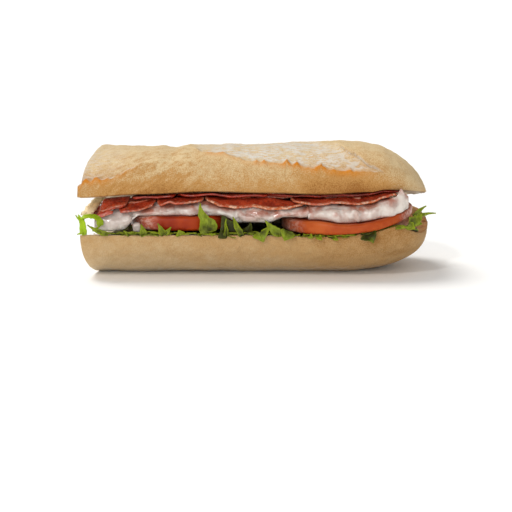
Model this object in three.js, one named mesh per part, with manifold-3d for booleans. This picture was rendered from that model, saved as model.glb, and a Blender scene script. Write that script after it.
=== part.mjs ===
// Half of a filled baguette: two lengths of bread, open along one side on lettuce, tomato, cheese and salami.
// Millimetres, +Z up. X runs along the loaf from the cut end to the baked tip, and -Y is the open side.
import * as THREE from "three";
import { mergeVertices } from "three/addons/utils/BufferGeometryUtils.js";
import Module from "manifold-3d";

const { clamp, degToRad, lerp, smoothstep } = THREE.MathUtils;

// Loaf
const CUT_SLANT = Math.tan(degToRad(14));
const CUT_FADE = 40;
const BASE_TIP_X = 67.8;
const LID_TIP_X = 67.3;
const TAPER_X = 38;
const GAP = 0.3;

// Lower bread
const BASE_CUT_X = -67.4;
const BASE_HALF_WIDTH = 32;
const LIP_Z = 17.4;
const BELLY = 18.4;
const BASE_PLAN_POWER = 3;
const BELLY_POWER = 3;
const BELLY_TAPER_X = 20;
const CUT_DIP = [[-32, 0], [-20, 1.4], [0, 1.9], [12, 1.7], [19, 0.6], [25, -0.3], [32, 0]];
const PRESS = { x: 34, half: 20, depth: 1.1, fromY: -32, toY: -6 };
const CUT_RISE = [[33, 0], [45, 1.4], [55, 3.4]];
const SHOULDER = { height: 2.6, fromX: 54, toX: 64, fromEdge: 0.7 };
const END_RISE = { height: 3.6, fromX: 45, fromY: -24, toY: 4 };

// Upper bread
const LID_CUT_X = -68.5;
const LID_HALF_WIDTH = 32.4;
const LID_RISE = 22.6;
const LID_ROUNDNESS = 2.1;
const LID_UNDERCUT = [[-69, 5], [-46, 24]];
const LID_PLAN_POWER = 2.2;
const LID_RISE_POWER = 1.56;
const LID_CREST = [[-69, 1.6], [-62, 1], [-52, 0.4], [-45, -0.3], [-39, -0.1], [-32, -1.1], [-26, -0.1],
  [-16, 0.1], [-10, 0.7], [-3, 0.5], [3, 0.8], [10, 1.2], [16, 1.6], [23, 1.2], [32, 1], [39, -0.3]];
const LID_SPAN = 60.5;
const LID_LIP_Z = [[-69, 31.8], [-45, 33.2], [-19, 34.3], [5, 33.8], [26, 33.2], [44, 33.9], [50, 34.9],
  [56, 34.9], [62, 34.6]];
const LID_HINGE_Z = [[15, 17.9], [62, 25]];
const LID_GAP = 0.4;
const POCKET_BACK_Y = [[-68, 5], [-48, 19]];
const POCKET_END = { before: 4, after: 3 };
const HINGE_OPENS_X = [40, 66];
const LID_HOLLOW = [[-31, 0], [-24, -1.2], [-16, 0.7], [-6, 2.6], [8, 2.6], [31, 0]];

// Scores baked open in the upper crust, as [x, degrees up from the front lip] on the raised and the far edge
const SCORES = [
  {
    ear: [[-80, 6], [-68, 8], [-65, 13], [-60, 14], [-56, 15], [-53, 20], [-48, 26], [-45, 31], [-37, 40],
      [-29, 54], [-22, 88]],
    far: [[-80, 100], [-40, 100], [-27, 96]],
    farFade: 50,
    depth: [[-68, 2.5], [-58, 2], [-40, 0.5]],
  },
  {
    ear: [[-26, 62], [-20.6, 45], [-13, 42], [-10, 38], [-7, 35], [-3, 32], [0, 30.2], [7.4, 29], [12, 28],
      [15.6, 26.2], [20, 24.8], [25, 23.8], [30, 22.8], [36, 21.5], [45, 22.2], [50, 23]],
    far: [[-26, 100], [0, 97], [20, 85], [30, 66], [37, 48], [44, 33], [50, 24]],
    farFade: 14,
    depth: [[-30, 0.6], [0, 1]],
  },
];
const EAR_HEIGHT = 0.5;
const EAR_WIDTH = 7;
const EAR_FADE = [45, 80];
const EAR_END = 6;
const SCORE_FLOOR = [2, 9];
const SCORE_SHALLOW = { from: 60, to: 95, share: 0.35 };
const SMOOTH_LIP = 0.3;

// Crumb torn loose under the upper bread at the cut end
const FLAP = { rootY: -7, tipY: -30.6, tipZ: 25.4, rootX: -58.3, tipX: -63.2, thick: 1.5, embed: 1.1 };
const FLAP_STEPS = { out: 6, along: 5 };

// Tomato slices
const TOMATO_POWER = 2.6;
const TOMATO_RING = 36;
const TOMATO_PROFILE = [[0, 0], [0.55, 0], [0.93, 0], [0.985, 0.12], [1, 0.32], [1, 0.68], [0.985, 0.88],
  [0.93, 1], [0.55, 1], [0, 1]];
const TOMATOES = {
  left: {
    x: -29,
    y: -10.2,
    halfX: 20.3,
    halfY: 21,
    thick: [[0, 5.4]],
    z: 19,
    tilt: 0.04,
    curlX: 100,
    curl: 0,
  },
  right: {
    x: 35.6,
    y: -9.6,
    halfX: 25.5,
    halfY: 25,
    thick: [[23, 5.2], [36, 3.8]],
    z: 17.7,
    tilt: 0.012,
    curlX: 30,
    curl: 6,
  },
};
const CURL_REACH = 31;

// Salami slices: each hangs under the upper bread and falls away to its rim, both given as [x, depth]
const SLICE = 0.75;
const SLICES = {
  salami_lower_1: {
    back: [[-68, 6.6], [-61.8, 6.6], [-58, 1.2], [-49.6, 0.9]],
    rim: [[-68, 9], [-62, 7.6], [-59, 7], [-55, 5.9], [-49.6, 5.2]],
    y: [-30.6, -20],
  },
  salami_lower_2: {
    back: [[-53.4, 3.6], [-46, 1.95]],
    rim: [[-53.4, 7], [-48, 6.4], [-40.6, 5.3], [-38.8, 4.5]],
    y: [-30.6, 0],
  },
  salami_lower_3: {
    back: [[-38.4, 1.95], [-19.9, 1.95]],
    rim: [[-38.4, 5.6], [-33, 3.5], [-30.4, 4.6], [-19.9, 4.4]],
    y: [-30.2, 1],
  },
  salami_lower_4: {
    back: [[-19.5, 1.95], [5, 1.95], [12.4, 3.1], [18.6, 3.1]],
    rim: [[-19.5, 5], [-12, 5.9], [-2, 6.3], [11, 6.1], [18.6, 5.6]],
    y: [-30.4, 1],
  },
  salami_lower_5: {
    back: [[13.4, 1.95], [54.6, 1.95]],
    rim: [[13.4, 4.2], [20, 4.4], [28, 4.1], [40, 4.5], [49, 2.9], [54.6, 2]],
    y: [-30.2, 1],
  },
  salami_upper_1: {
    back: [[-48.6, 0.7], [-30.9, 0.7]],
    rim: [[-48.6, 2.2], [-42, 1.7], [-30.9, 1.8]],
    y: [-28.4, 0],
  },
  salami_upper_2: {
    back: [[-30.5, 0.7], [5, 0.7]],
    rim: [[-30.5, 1.6], [-16, 2], [5, 1.8]],
    y: [-28.2, 1],
  },
  salami_upper_3: {
    back: [[5.4, 0.7], [56, 0.7]],
    rim: [[5.4, 1.9], [22, 1.7], [39, 1.5], [56, 0.9]],
    y: [-25.6, 1],
  },
};
const SLICE_ROUND = 5;
const SLICE_CORNER = 9;
const SLICE_BLUNT = 0.98;
const DROOP_REACH = [24.5, 30.5];
const DROOP_POWER = 1.3;
const RIPPLE = { height: 0.15, length: 17, slant: 0.35, hang: [0.5, 1.6] };

// The lowest salami over the cheese, in the same way
const UNDER = {
  back: [[-54, 4], [-45, 2.3], [5, 2.3], [12, 3.4], [18.6, 3.4], [21, 2.3]],
  rim: [[-69, 7.8], [-54, 7.3], [-48, 6.7], [-38, 5.8], [-29, 4.9], [-20, 5.2], [-12, 6.1], [-2, 6.5],
    [11, 6.3], [18.6, 5.8], [20.5, 4.7], [28, 4.3], [40, 4.7], [49, 3.1], [54.6, 2.3]],
};

// Soft cheese
const CHEESE_BACK_Y = -7;
const CHEESE_ROUNDNESS = { upper: 5, lower: 12 };
const CHEESE_LEAST = 0.6;
const CHEESE_BLUNT = 0.5;
const CHEESE_OPEN_X = [53.6, 56];
const CHEESES = {
  left: {
    from: -62,
    to: 19.8,
    ends: [3.5, 0.8],
    front: [[-62, -30], [-55, -31.6], [-46, -30], [-25, -29.4], [0, -31.2], [19, -30]],
    back: [[-62, -24], [-50, CHEESE_BACK_Y], [19, CHEESE_BACK_Y]],
    low: [[-62, 18.7], [-46, 18.7], [-12, 21.8], [5, 21.8], [11, 23.8]],
    high: [[-62, 24], [-57, 26], [-48, 30], [19, 30]],
  },
  right: {
    from: 20.2,
    to: 58.6,
    ends: [0.8, 2.5],
    front: [[20, -31], [30, -33.2], [45, -32.4], [56, -28.6], [58.6, -26.4]],
    back: [[21, CHEESE_BACK_Y], [48, CHEESE_BACK_Y], [53, -27.8], [56, -25.9], [58.6, -23.7]],
    high: [[21, 29.5], [48, 31], [51, 34], [55.4, 35.4], [57, 33.4], [58.6, 32]],
  },
};
const CHEESE_CLEAR = [1.1, 1.32];

// Lettuce: each lobe of a leaf's margin has a place on the lip, half width, reach, rise in degrees and lean
const LEAF = 0.6;
const LEAF_BACK_Y = 7;
const LEAF_NARROWS = { from: 44, to: 54, lip: 6 };
const LEAF_HEM = 0.8;
const LEAF_STEP = 2.3;
const LEAF_CLOSEST = 0.5;
const LEAF_ROWS = { bed: 2, margin: 3 };
const LEAF_RUFFLE = { height: 0.35, wave: 2.1 };
const LOBE_POINT = 0.85;
const LOBE_PULL = 1.4;
const LEVEL_PULL = 0.05;
const LIP_CLEAR = 0.8;
const LEAVES = {
  left: {
    from: -58.5,
    to: -27.5,
    lobes: [
      { x: -55, half: 2, reach: 1.8, angle: 60, lean: 0.6 },
      { x: -43.5, half: 3, reach: 3.8, angle: 72, lean: -1 },
      { x: -37.5, half: 3.6, reach: 4.6, angle: 75, lean: -1 },
      { x: -31, half: 2.6, reach: 2.2, angle: 20, lean: 0.5 },
    ],
  },
  middle: {
    from: -26.5,
    to: 17,
    lobes: [
      { x: -18.6, half: 5, reach: 11.6, angle: 82, lean: -3.6 },
      { x: -11.5, half: 4, reach: 7.8, angle: 86, lean: -2 },
      { x: -6, half: 3, reach: 6, angle: 84, lean: -1.6 },
      { x: 1, half: 3.2, reach: 3, angle: -48, lean: 0 },
      { x: 6.4, half: 3, reach: 4.8, angle: 74, lean: -2.4 },
      { x: 12.8, half: 3.4, reach: 4.6, angle: -30, lean: -2 },
    ],
  },
  right: {
    from: 18,
    to: 62.6,
    lobes: [
      { x: 23.6, half: 2.4, reach: 1.8, angle: -35, lean: 0 },
      { x: 31.6, half: 2, reach: 1, angle: -35, lean: 0 },
      { x: 43, half: 4.4, reach: 3.6, angle: -46, lean: 1.4 },
      { x: 57.4, half: 2.2, reach: 2.4, angle: -40, lean: 1 },
      { x: 60.2, half: 2, reach: 6.4, angle: 62, lean: 3 },
      { x: 61.8, half: 1.2, reach: 9, angle: 58, lean: 3.6 },
    ],
  },
};
const LEAF_TURN = { from: 46, to: 66, angle: degToRad(40) };

// Lettuce ribbon that arches over the cut end: its path, and across it the half width at each point
const ARCH = {
  path: [[-59.4, -14, 16.7], [-62.8, -26, 17.4], [-66.2, -32.4, 19], [-67, -34.1, 22.2], [-65.4, -33.8, 24],
    [-62.2, -33.6, 24], [-60.6, -34, 21.6], [-61.6, -34.6, 19.2]],
  across: [[2.6, 0.4, 0], [2.6, 0.4, 0], [1.7, 0.2, 0], [1.5, 0.3, 0], [0.3, 0.8, 0.2], [0.2, 0.8, -0.2],
    [1, 0.5, 0], [1.3, 0.2, 0.3]],
  steps: 22,
};

// How finely the lofts are divided
const LOAF_STEPS = 26;
const TIP_STEPS = 12;
const TIP_SHARE = 0.999;
const LID_RING = { dome: 24, under: 11 };
const BASE_RING = { belly: 18, cut: 11 };
const CHEESE_STEP = 2.8;
const CHEESE_RING = 9;
const SLICE_STEP = 2.6;
const SLICE_ROWS = 6;
const SLICE_CROWDING = 1.8;

const wasm = await Module();
wasm.setup();

// A smooth curve through [x, value] stations
function through(stations, x) {
  const next = stations.findIndex(([at]) => at > x);
  if (next === 0) return stations[0][1];
  if (next < 0) return stations[stations.length - 1][1];
  const [x0, value0] = stations[next - 1];
  const [x1, value1] = stations[next];
  return lerp(value0, value1, smoothstep(x, x0, x1));
}

// How far the loaf has narrowed towards its tip: 1 along the body, 0 at the tip
function taper(x, power, tip, start = TAPER_X) {
  const t = clamp((x - start) / (tip - start), 0, 1);
  return (1 - t ** power) ** (1 / power);
}

// The knife's slant at the cut end, fading out along the loaf
function slanted(x, y) {
  const fade = 1 - clamp((x - LID_CUT_X) / CUT_FADE, 0, 1);
  return x + CUT_SLANT * (y + BASE_HALF_WIDTH) * fade;
}

function evenSteps(from, to, count) {
  return Array.from({ length: count + 1 }, (_, i) => lerp(from, to, i / count));
}

// Places along the loaf, closer together round the tip
function loafStations(start, tip) {
  const body = evenSteps(start, TAPER_X, LOAF_STEPS);
  const end = evenSteps(0, Math.PI / 2, TIP_STEPS).slice(1);
  return body.concat(end.map((angle) => lerp(TAPER_X, tip, TIP_SHARE * Math.sin(angle))));
}

// How far the lower bread's upper face falls away to its edge round the tip
function shoulderDrop(x, y) {
  const along = clamp((x - TAPER_X) / (BASE_TIP_X - TAPER_X), 0, 1);
  const across = Math.abs(y) / BASE_HALF_WIDTH;
  const edge = (along ** BASE_PLAN_POWER + across ** BASE_PLAN_POWER) ** (1 / BASE_PLAN_POWER);
  const outer = smoothstep(edge, SHOULDER.fromEdge, 1);
  return SHOULDER.height * smoothstep(x, SHOULDER.fromX, SHOULDER.toX) * outer;
}

// Upper face of the lower bread, where the knife opened the loaf
function cutHeight(x, y) {
  const along = Math.exp(-(((x - PRESS.x) / PRESS.half) ** 2));
  const pressed = along * (1 - smoothstep(y, PRESS.fromY, PRESS.toY));
  const raised = smoothstep(x, END_RISE.fromX, BASE_TIP_X) * smoothstep(y, END_RISE.fromY, END_RISE.toY);
  const rise = through(CUT_RISE, x) + END_RISE.height * raised - shoulderDrop(x, y);
  return LIP_Z - through(CUT_DIP, y) - PRESS.depth * pressed + rise;
}

// The upper bread's own frame at x: v runs from its back lip to its front lip, h stands on its underside
function lidFrame(x) {
  const lip = through(LID_LIP_Z, x);
  const hinge = through(LID_HINGE_Z, x);
  return { middle: (lip + hinge) / 2, tilt: Math.atan((lip - hinge) / LID_SPAN) };
}

function lidPoint(x, v, h) {
  const { middle, tilt } = lidFrame(x);
  const y = h * Math.sin(tilt) - v * Math.cos(tilt);
  return new THREE.Vector3(slanted(x, y), y, middle + v * Math.sin(tilt) + h * Math.cos(tilt));
}

// Underside of the upper bread at a place in plan: open over the filling, shut on the lower bread behind it
function lidHeight(x, y) {
  const { middle, tilt } = lidFrame(x);
  const v = -y / Math.cos(tilt);
  const narrow = taper(x, LID_PLAN_POWER, LID_TIP_X);
  const hollow = through(LID_HOLLOW, v / narrow) * taper(x, LID_RISE_POWER, LID_TIP_X);
  const back = through(POCKET_BACK_Y, x);
  const behind = smoothstep(y, back - POCKET_END.before, back + POCKET_END.after);
  const shut = behind * (1 - smoothstep(x, ...HINGE_OPENS_X));
  return lerp(middle + v * Math.sin(tilt) + hollow * Math.cos(tilt), cutHeight(x, y) + LID_GAP, shut);
}

// Height that a baked-open score adds to the crust: a raised ear along its edge and a sunken floor behind it
function scoreRelief(x, angle) {
  let height = 0;
  for (const { ear, far, depth, farFade } of SCORES) {
    const start = ear[0][0];
    const end = ear[ear.length - 1][0];
    if (x > end) continue;
    const past = angle - through(ear, x);
    const before = through(far, x) - angle;
    const fade = smoothstep(end - x, 0, EAR_END) * smoothstep(x - start, 0, EAR_END);
    const low = 1 - smoothstep(angle, ...EAR_FADE);
    height += EAR_HEIGHT * fade * low * Math.exp(-((past / EAR_WIDTH) ** 2));
    const shallow = lerp(1, SCORE_SHALLOW.share, smoothstep(angle, SCORE_SHALLOW.from, SCORE_SHALLOW.to));
    const floor = smoothstep(past, ...SCORE_FLOOR) * smoothstep(before, 0, farFade);
    height -= through(depth, x) * shallow * fade * floor;
  }
  return height;
}

// Shares of the half width and of the rise around the upper bread, from one lip over the top to the other
function lidSection(x, angle) {
  const bend = 2 / LID_ROUNDNESS;
  const bent = (share) => Math.sign(share) * Math.abs(share) ** bend;
  const undercut = through(LID_UNDERCUT, x);
  const turned = degToRad(lerp(-undercut, 180 + undercut, angle / 180));
  const lowest = bent(Math.sin(degToRad(-undercut)));
  const up = (bent(Math.sin(turned)) - lowest) / (1 - lowest);
  return { across: bent(Math.cos(turned)), up: Math.max(0, up) };
}

function lidRing(x) {
  const half = LID_HALF_WIDTH * taper(x, LID_PLAN_POWER, LID_TIP_X);
  const rise = (LID_RISE + through(LID_CREST, x)) * taper(x, LID_RISE_POWER, LID_TIP_X);
  const lip = half * lidSection(x, 0).across;
  const ring = [];
  for (const angle of evenSteps(180, 0, LID_RING.dome)) {
    const { across, up } = lidSection(x, angle);
    const swell = 1 + (scoreRelief(x, angle) * smoothstep(up, 0, SMOOTH_LIP)) / LID_RISE;
    ring.push(lidPoint(x, half * across * swell, rise * up * swell));
  }
  for (const t of evenSteps(1, -1, LID_RING.under).slice(1, -1)) {
    const { y } = lidPoint(x, lip * t, 0);
    ring.push(new THREE.Vector3(slanted(x, y), y, lidHeight(x, y)));
  }
  return ring;
}

function baseRing(x) {
  const half = BASE_HALF_WIDTH * taper(x, BASE_PLAN_POWER, BASE_TIP_X);
  const rise = through(CUT_RISE, x);
  const belly = (BELLY + rise) * taper(x, BELLY_POWER, BASE_TIP_X, BELLY_TAPER_X);
  const ring = [];
  for (const t of evenSteps(1, -1, BASE_RING.cut)) {
    const y = half * t;
    ring.push(new THREE.Vector3(slanted(x, y), y, cutHeight(x, y)));
  }
  for (const angle of evenSteps(0, Math.PI, BASE_RING.belly).slice(1, -1)) {
    const y = -half * Math.cos(angle);
    const lip = lerp(cutHeight(x, Math.sign(y) * half), LIP_Z + rise, Math.sin(angle));
    ring.push(new THREE.Vector3(slanted(x, y), y, Math.max(0, lip - belly * Math.sin(angle))));
  }
  return ring;
}

function geometryFrom(points, index) {
  const geometry = new THREE.BufferGeometry().setFromPoints(points);
  geometry.setIndex(index);
  geometry.computeVertexNormals();
  return geometry;
}

// A solid through rings of points, each end closed by a fan about the middle of its ring
function loft(rings) {
  const count = rings[0].length;
  const last = rings.length - 1;
  const points = rings.flat();
  const index = [];
  for (let i = 0; i < last; i++) {
    for (let j = 0; j < count; j++) {
      const a = i * count + j;
      const b = i * count + ((j + 1) % count);
      index.push(a, b, a + count, b, b + count, a + count);
    }
  }
  for (const row of [0, last]) {
    const middle = rings[row].reduce((sum, point) => sum.add(point), new THREE.Vector3()).divideScalar(count);
    const centre = points.push(middle) - 1;
    for (let j = 0; j < count; j++) {
      const pair = [row * count + j, row * count + ((j + 1) % count)];
      index.push(centre, ...(row === 0 ? pair.reverse() : pair));
    }
  }
  return geometryFrom(points, index);
}

// A thin solid on both sides of a grid of points, its two faces split along the same diagonals
function sheet(grid, thick) {
  const rows = grid.length;
  const columns = grid[0].length;
  const at = (i, j) => grid[clamp(i, 0, rows - 1)][clamp(j, 0, columns - 1)];
  const points = [];
  for (const side of [0.5, -0.5]) {
    for (let i = 0; i < rows; i++) {
      for (let j = 0; j < columns; j++) {
        const along = at(i, j + 1).clone().sub(at(i, j - 1));
        const across = at(i + 1, j).clone().sub(at(i - 1, j));
        const offset = along.cross(across).setLength(side * thick);
        points.push(at(i, j).clone().add(offset));
      }
    }
  }
  const count = rows * columns;
  const index = [];
  const quad = (a, b, c, d) => index.push(a, b, c, a, c, d);
  for (let i = 0; i < rows - 1; i++) {
    for (let j = 0; j < columns - 1; j++) {
      const a = i * columns + j;
      const b = a + 1;
      const c = b + columns;
      const d = a + columns;
      quad(a, b, c, d);
      index.push(count + a, count + c, count + b, count + a, count + d, count + c);
    }
  }
  const rim = [];
  for (let j = 0; j < columns; j++) rim.push(j);
  for (let i = 1; i < rows; i++) rim.push(i * columns + columns - 1);
  for (let j = columns - 2; j >= 0; j--) rim.push((rows - 1) * columns + j);
  for (let i = rows - 2; i > 0; i--) rim.push(i * columns);
  rim.forEach((a, k) => {
    const b = rim[(k + 1) % rim.length];
    quad(a, count + a, count + b, b);
  });
  return geometryFrom(points, index);
}

function solid(geometry) {
  const bare = new THREE.BufferGeometry();
  bare.setAttribute("position", geometry.getAttribute("position"));
  bare.setIndex(geometry.getIndex());
  const merged = mergeVertices(bare, 1e-3);
  const vertProperties = merged.attributes.position.array;
  const triVerts = new Uint32Array(merged.index.array);
  return new wasm.Manifold(new wasm.Mesh({ numProp: 3, vertProperties, triVerts }));
}

function joined(first, second) {
  const mesh = solid(first).add(solid(second)).getMesh();
  const geometry = new THREE.BufferGeometry();
  geometry.setAttribute("position", new THREE.BufferAttribute(mesh.vertProperties, 3));
  geometry.setIndex(new THREE.BufferAttribute(mesh.triVerts, 1));
  geometry.computeVertexNormals();
  return geometry;
}

// The torn tongue of crumb, rooted in the upper bread's underside and hanging down to the open side
function crumbFlap() {
  const grid = evenSteps(0, 1, FLAP_STEPS.out).map((t) => {
    const y = lerp(FLAP.rootY, FLAP.tipY, t);
    const start = slanted(LID_CUT_X, y) + GAP;
    const end = lerp(FLAP.rootX, FLAP.tipX, t);
    return evenSteps(0, 1, FLAP_STEPS.along).map((u) => {
      const x = lerp(start, end, u);
      const rootZ = lidHeight(x, FLAP.rootY) + FLAP.embed;
      return new THREE.Vector3(x, y, lerp(rootZ, FLAP.tipZ, t));
    });
  });
  return sheet(grid, FLAP.thick);
}

// Distance from a slice's centre, counted so that its full outline lies at 1
function fullness(dx, dy) {
  return (Math.abs(dx) ** TOMATO_POWER + Math.abs(dy) ** TOMATO_POWER) ** (1 / TOMATO_POWER);
}

function tomatoFloor({ z, tilt, curlX, curl }, x, y) {
  const bent = Math.max(0, (x - curlX) / CURL_REACH);
  return z - tilt * (y + BASE_HALF_WIDTH) + curl * bent * bent;
}

// A round slice turned from its profile, then pressed into a fuller outline and laid on the bread
function tomatoSlice(slice) {
  const profile = TOMATO_PROFILE.map(([reach, level]) => new THREE.Vector2(reach, level));
  const geometry = new THREE.LatheGeometry(profile, TOMATO_RING);
  const position = geometry.getAttribute("position");
  const point = new THREE.Vector3();
  for (let i = 0; i < position.count; i++) {
    point.fromBufferAttribute(position, i);
    const round = Math.hypot(point.x, point.z);
    const pressed = fullness(point.x, point.z);
    const fuller = pressed > 0 ? round / pressed : 0;
    const x = slice.x + slice.halfX * point.x * fuller;
    const y = slice.y - slice.halfY * point.z * fuller;
    position.setXYZ(i, x, y, tomatoFloor(slice, x, y) + point.y * through(slice.thick, x));
  }
  geometry.computeVertexNormals();
  return geometry;
}

// Height of something hung under the upper bread that falls away towards the open side
function hungHeight({ back, rim }, x, y) {
  const reach = clamp((-y - DROOP_REACH[0]) / (DROOP_REACH[1] - DROOP_REACH[0]), 0, 1.1);
  const hang = lerp(through(back, x), through(rim, x), reach ** DROOP_POWER);
  const wave = RIPPLE.height * Math.sin((2 * Math.PI * (x + RIPPLE.slant * y)) / RIPPLE.length);
  return lidHeight(x, y) - hang + wave * smoothstep(hang, ...RIPPLE.hang);
}

function salamiSlice(slice) {
  const from = slice.rim[0][0];
  const to = slice.rim[slice.rim.length - 1][0];
  const [front, back] = slice.y;
  const columns = Math.round((to - from) / SLICE_STEP);
  const grid = evenSteps(0, 1, SLICE_ROWS).map((t) =>
    evenSteps(0, 1, columns).map((u) => {
      const edge = Math.abs(2 * u - 1);
      const rounding = SLICE_ROUND * (1 - Math.sqrt(1 - SLICE_BLUNT * edge ** SLICE_CORNER));
      const y = lerp(front + rounding, back - rounding, t ** SLICE_CROWDING);
      const x = slanted(lerp(from, to, u), y);
      return new THREE.Vector3(x, y, hungHeight(slice, x, y));
    }),
  );
  return sheet(grid, SLICE);
}

// Highest and lowest level the cheese can fill at a place, between the tomato and the salami
function cheeseLevels({ low, high }, slice, x, y) {
  const onSlice = tomatoFloor(slice, x, y) + through(slice.thick, x) + GAP;
  const out = fullness((x - slice.x) / slice.halfX, (y - slice.y) / slice.halfY);
  const beside = 1 - smoothstep(out, ...CHEESE_CLEAR);
  const floor = low ? lerp(through(low, x), onSlice, beside) : onSlice;
  const lid = hungHeight(UNDER, x, y) - SLICE / 2 - GAP;
  const limit = through(high, x);
  return [floor, lerp(Math.min(lid, limit), limit, smoothstep(x, ...CHEESE_OPEN_X))];
}

function cheesePiece(piece, slice) {
  const count = Math.round((piece.to - piece.from) / CHEESE_STEP);
  const rings = evenSteps(piece.from, piece.to, count).map((x) => {
    const fromEnd = Math.min((x - piece.from) / piece.ends[0], (piece.to - x) / piece.ends[1]);
    const swell = Math.sqrt(Math.max(CHEESE_BLUNT, 1 - (1 - Math.min(1, fromEnd)) ** 2));
    const side = (t, sign, roundness) => {
      const y = lerp(through(piece.back, x), through(piece.front, x), t);
      const [floor, top] = cheeseLevels(piece, slice, x, y);
      const nose = Math.sqrt(1 - Math.abs(2 * t - 1) ** roundness);
      const half = (Math.max(top - floor, CHEESE_LEAST) / 2) * nose * swell;
      return new THREE.Vector3(x, y, (floor + top) / 2 + sign * half);
    };
    const upper = evenSteps(0, 1, CHEESE_RING).map((t) => side(t, 1, CHEESE_ROUNDNESS.upper));
    const lower = evenSteps(1, 0, CHEESE_RING).map((t) => side(t, -1, CHEESE_ROUNDNESS.lower));
    return upper.concat(lower.slice(1, -1));
  });
  return loft(rings);
}

// Reach, angle and lean of a leaf's margin at x
function marginAt(lobes, x) {
  let reach = LEAF_HEM;
  let angle = 0;
  let lean = 0;
  let weight = LEVEL_PULL;
  for (const lobe of lobes) {
    const near = Math.max(0, 1 - Math.abs(x - lobe.x) / lobe.half);
    const pull = Math.exp(-(((x - lobe.x) / (LOBE_PULL * lobe.half)) ** 2));
    reach += (lobe.reach - LEAF_HEM) * near ** LOBE_POINT;
    angle += lobe.angle * pull;
    lean += lobe.lean * pull * near;
    weight += pull;
  }
  return { reach, angle: degToRad(angle / weight), lean };
}

function lettuceLeaf({ from, to, lobes }) {
  const tips = lobes.flatMap(({ x, half }) => [x - half, x - half / 2, x, x + half / 2, x + half]);
  const even = evenSteps(from, to, Math.round((to - from) / LEAF_STEP));
  const places = even.concat(tips).filter((x) => x >= from && x <= to).sort((a, b) => a - b);
  const columns = places.filter((x, i) => i === 0 || x - places[i - 1] > LEAF_CLOSEST);
  const rows = [];
  for (let row = 0; row <= LEAF_ROWS.bed + LEAF_ROWS.margin; row++) {
    const bed = Math.min(1, row / LEAF_ROWS.bed);
    const s = Math.max(0, (row - LEAF_ROWS.bed) / LEAF_ROWS.margin);
    rows.push(columns.map((x) => {
      const { reach, angle, lean } = marginAt(lobes, x);
      const lipY = -BASE_HALF_WIDTH * taper(x, BASE_PLAN_POWER, BASE_TIP_X);
      const turn = LEAF_TURN.angle * smoothstep(x, LEAF_TURN.from, LEAF_TURN.to);
      const narrow = smoothstep(x, LEAF_NARROWS.from, LEAF_NARROWS.to);
      const y = lerp(lerp(LEAF_BACK_Y, lipY + LEAF_NARROWS.lip, narrow), lipY, bed);
      const out = s > 0 ? LIP_CLEAR + reach * s * Math.cos(angle) : 0;
      const ruffle = LEAF_RUFFLE.height * Math.sin(LEAF_RUFFLE.wave * x) * s;
      return new THREE.Vector3(
        slanted(x, y) + lean * s * s + out * Math.sin(turn),
        y - out * Math.cos(turn) + ruffle,
        cutHeight(x, y) + GAP + LEAF / 2 + reach * s * Math.sin(angle),
      );
    }));
  }
  return sheet(rows.reverse(), LEAF);
}

function lettuceArch() {
  const vectors = (list) => new THREE.CatmullRomCurve3(list.map((p) => new THREE.Vector3(...p)));
  const path = vectors(ARCH.path);
  const across = vectors(ARCH.across);
  const grid = [1, 0, -1].map((side) =>
    evenSteps(0, 1, ARCH.steps).map((t) => path.getPoint(t).addScaledVector(across.getPoint(t), side)),
  );
  return sheet(grid, LEAF);
}

const bread = new THREE.MeshStandardMaterial({ color: 0xc99a62, roughness: 0.85, metalness: 0 });
const tomato = new THREE.MeshStandardMaterial({ color: 0xc0492b, roughness: 0.3, metalness: 0 });
const cheese = new THREE.MeshStandardMaterial({ color: 0xe6ddd6, roughness: 0.3, metalness: 0 });
const salami = new THREE.MeshStandardMaterial({ color: 0x93301f, roughness: 0.45, metalness: 0 });
const lettuce = new THREE.MeshStandardMaterial({ color: 0x7fa52b, roughness: 0.5, metalness: 0 });

const sandwich = new THREE.Group();

function addPiece(name, geometry, material) {
  const mesh = new THREE.Mesh(geometry, material);
  mesh.name = name;
  sandwich.add(mesh);
}

addPiece("bread_bottom", loft(loafStations(BASE_CUT_X, BASE_TIP_X).map(baseRing)), bread);
addPiece("bread_top", joined(loft(loafStations(LID_CUT_X, LID_TIP_X).map(lidRing)), crumbFlap()), bread);
for (const side of ["left", "right"]) {
  addPiece(`tomato_${side}`, tomatoSlice(TOMATOES[side]), tomato);
  addPiece(`cheese_${side}`, cheesePiece(CHEESES[side], TOMATOES[side]), cheese);
}
for (const [name, slice] of Object.entries(SLICES)) addPiece(name, salamiSlice(slice), salami);
for (const [side, leaf] of Object.entries(LEAVES)) addPiece(`lettuce_${side}`, lettuceLeaf(leaf), lettuce);
addPiece("lettuce_arch", lettuceArch(), lettuce);

export default sandwich;
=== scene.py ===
"""Half of a filled baguette on a pale floor: bread, lettuce, tomato, cheese and salami over their solids."""
import math

import bpy
import numpy as np
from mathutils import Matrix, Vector


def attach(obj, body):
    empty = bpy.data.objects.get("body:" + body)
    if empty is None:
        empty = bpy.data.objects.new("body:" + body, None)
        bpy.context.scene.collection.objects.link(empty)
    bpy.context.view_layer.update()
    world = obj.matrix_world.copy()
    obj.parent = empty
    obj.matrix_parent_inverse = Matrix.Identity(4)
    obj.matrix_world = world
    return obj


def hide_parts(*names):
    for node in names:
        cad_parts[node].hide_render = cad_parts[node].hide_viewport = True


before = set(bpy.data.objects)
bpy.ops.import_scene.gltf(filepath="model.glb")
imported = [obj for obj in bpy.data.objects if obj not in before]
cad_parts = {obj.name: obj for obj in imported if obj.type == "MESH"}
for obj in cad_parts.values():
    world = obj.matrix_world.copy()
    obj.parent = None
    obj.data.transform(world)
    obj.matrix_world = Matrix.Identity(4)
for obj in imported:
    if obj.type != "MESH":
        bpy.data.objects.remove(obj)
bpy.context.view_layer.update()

# Sizes are in millimetres, +Z up. X runs along the loaf from the cut end to the tip, and -Y is the open side
MM = 0.001

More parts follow.
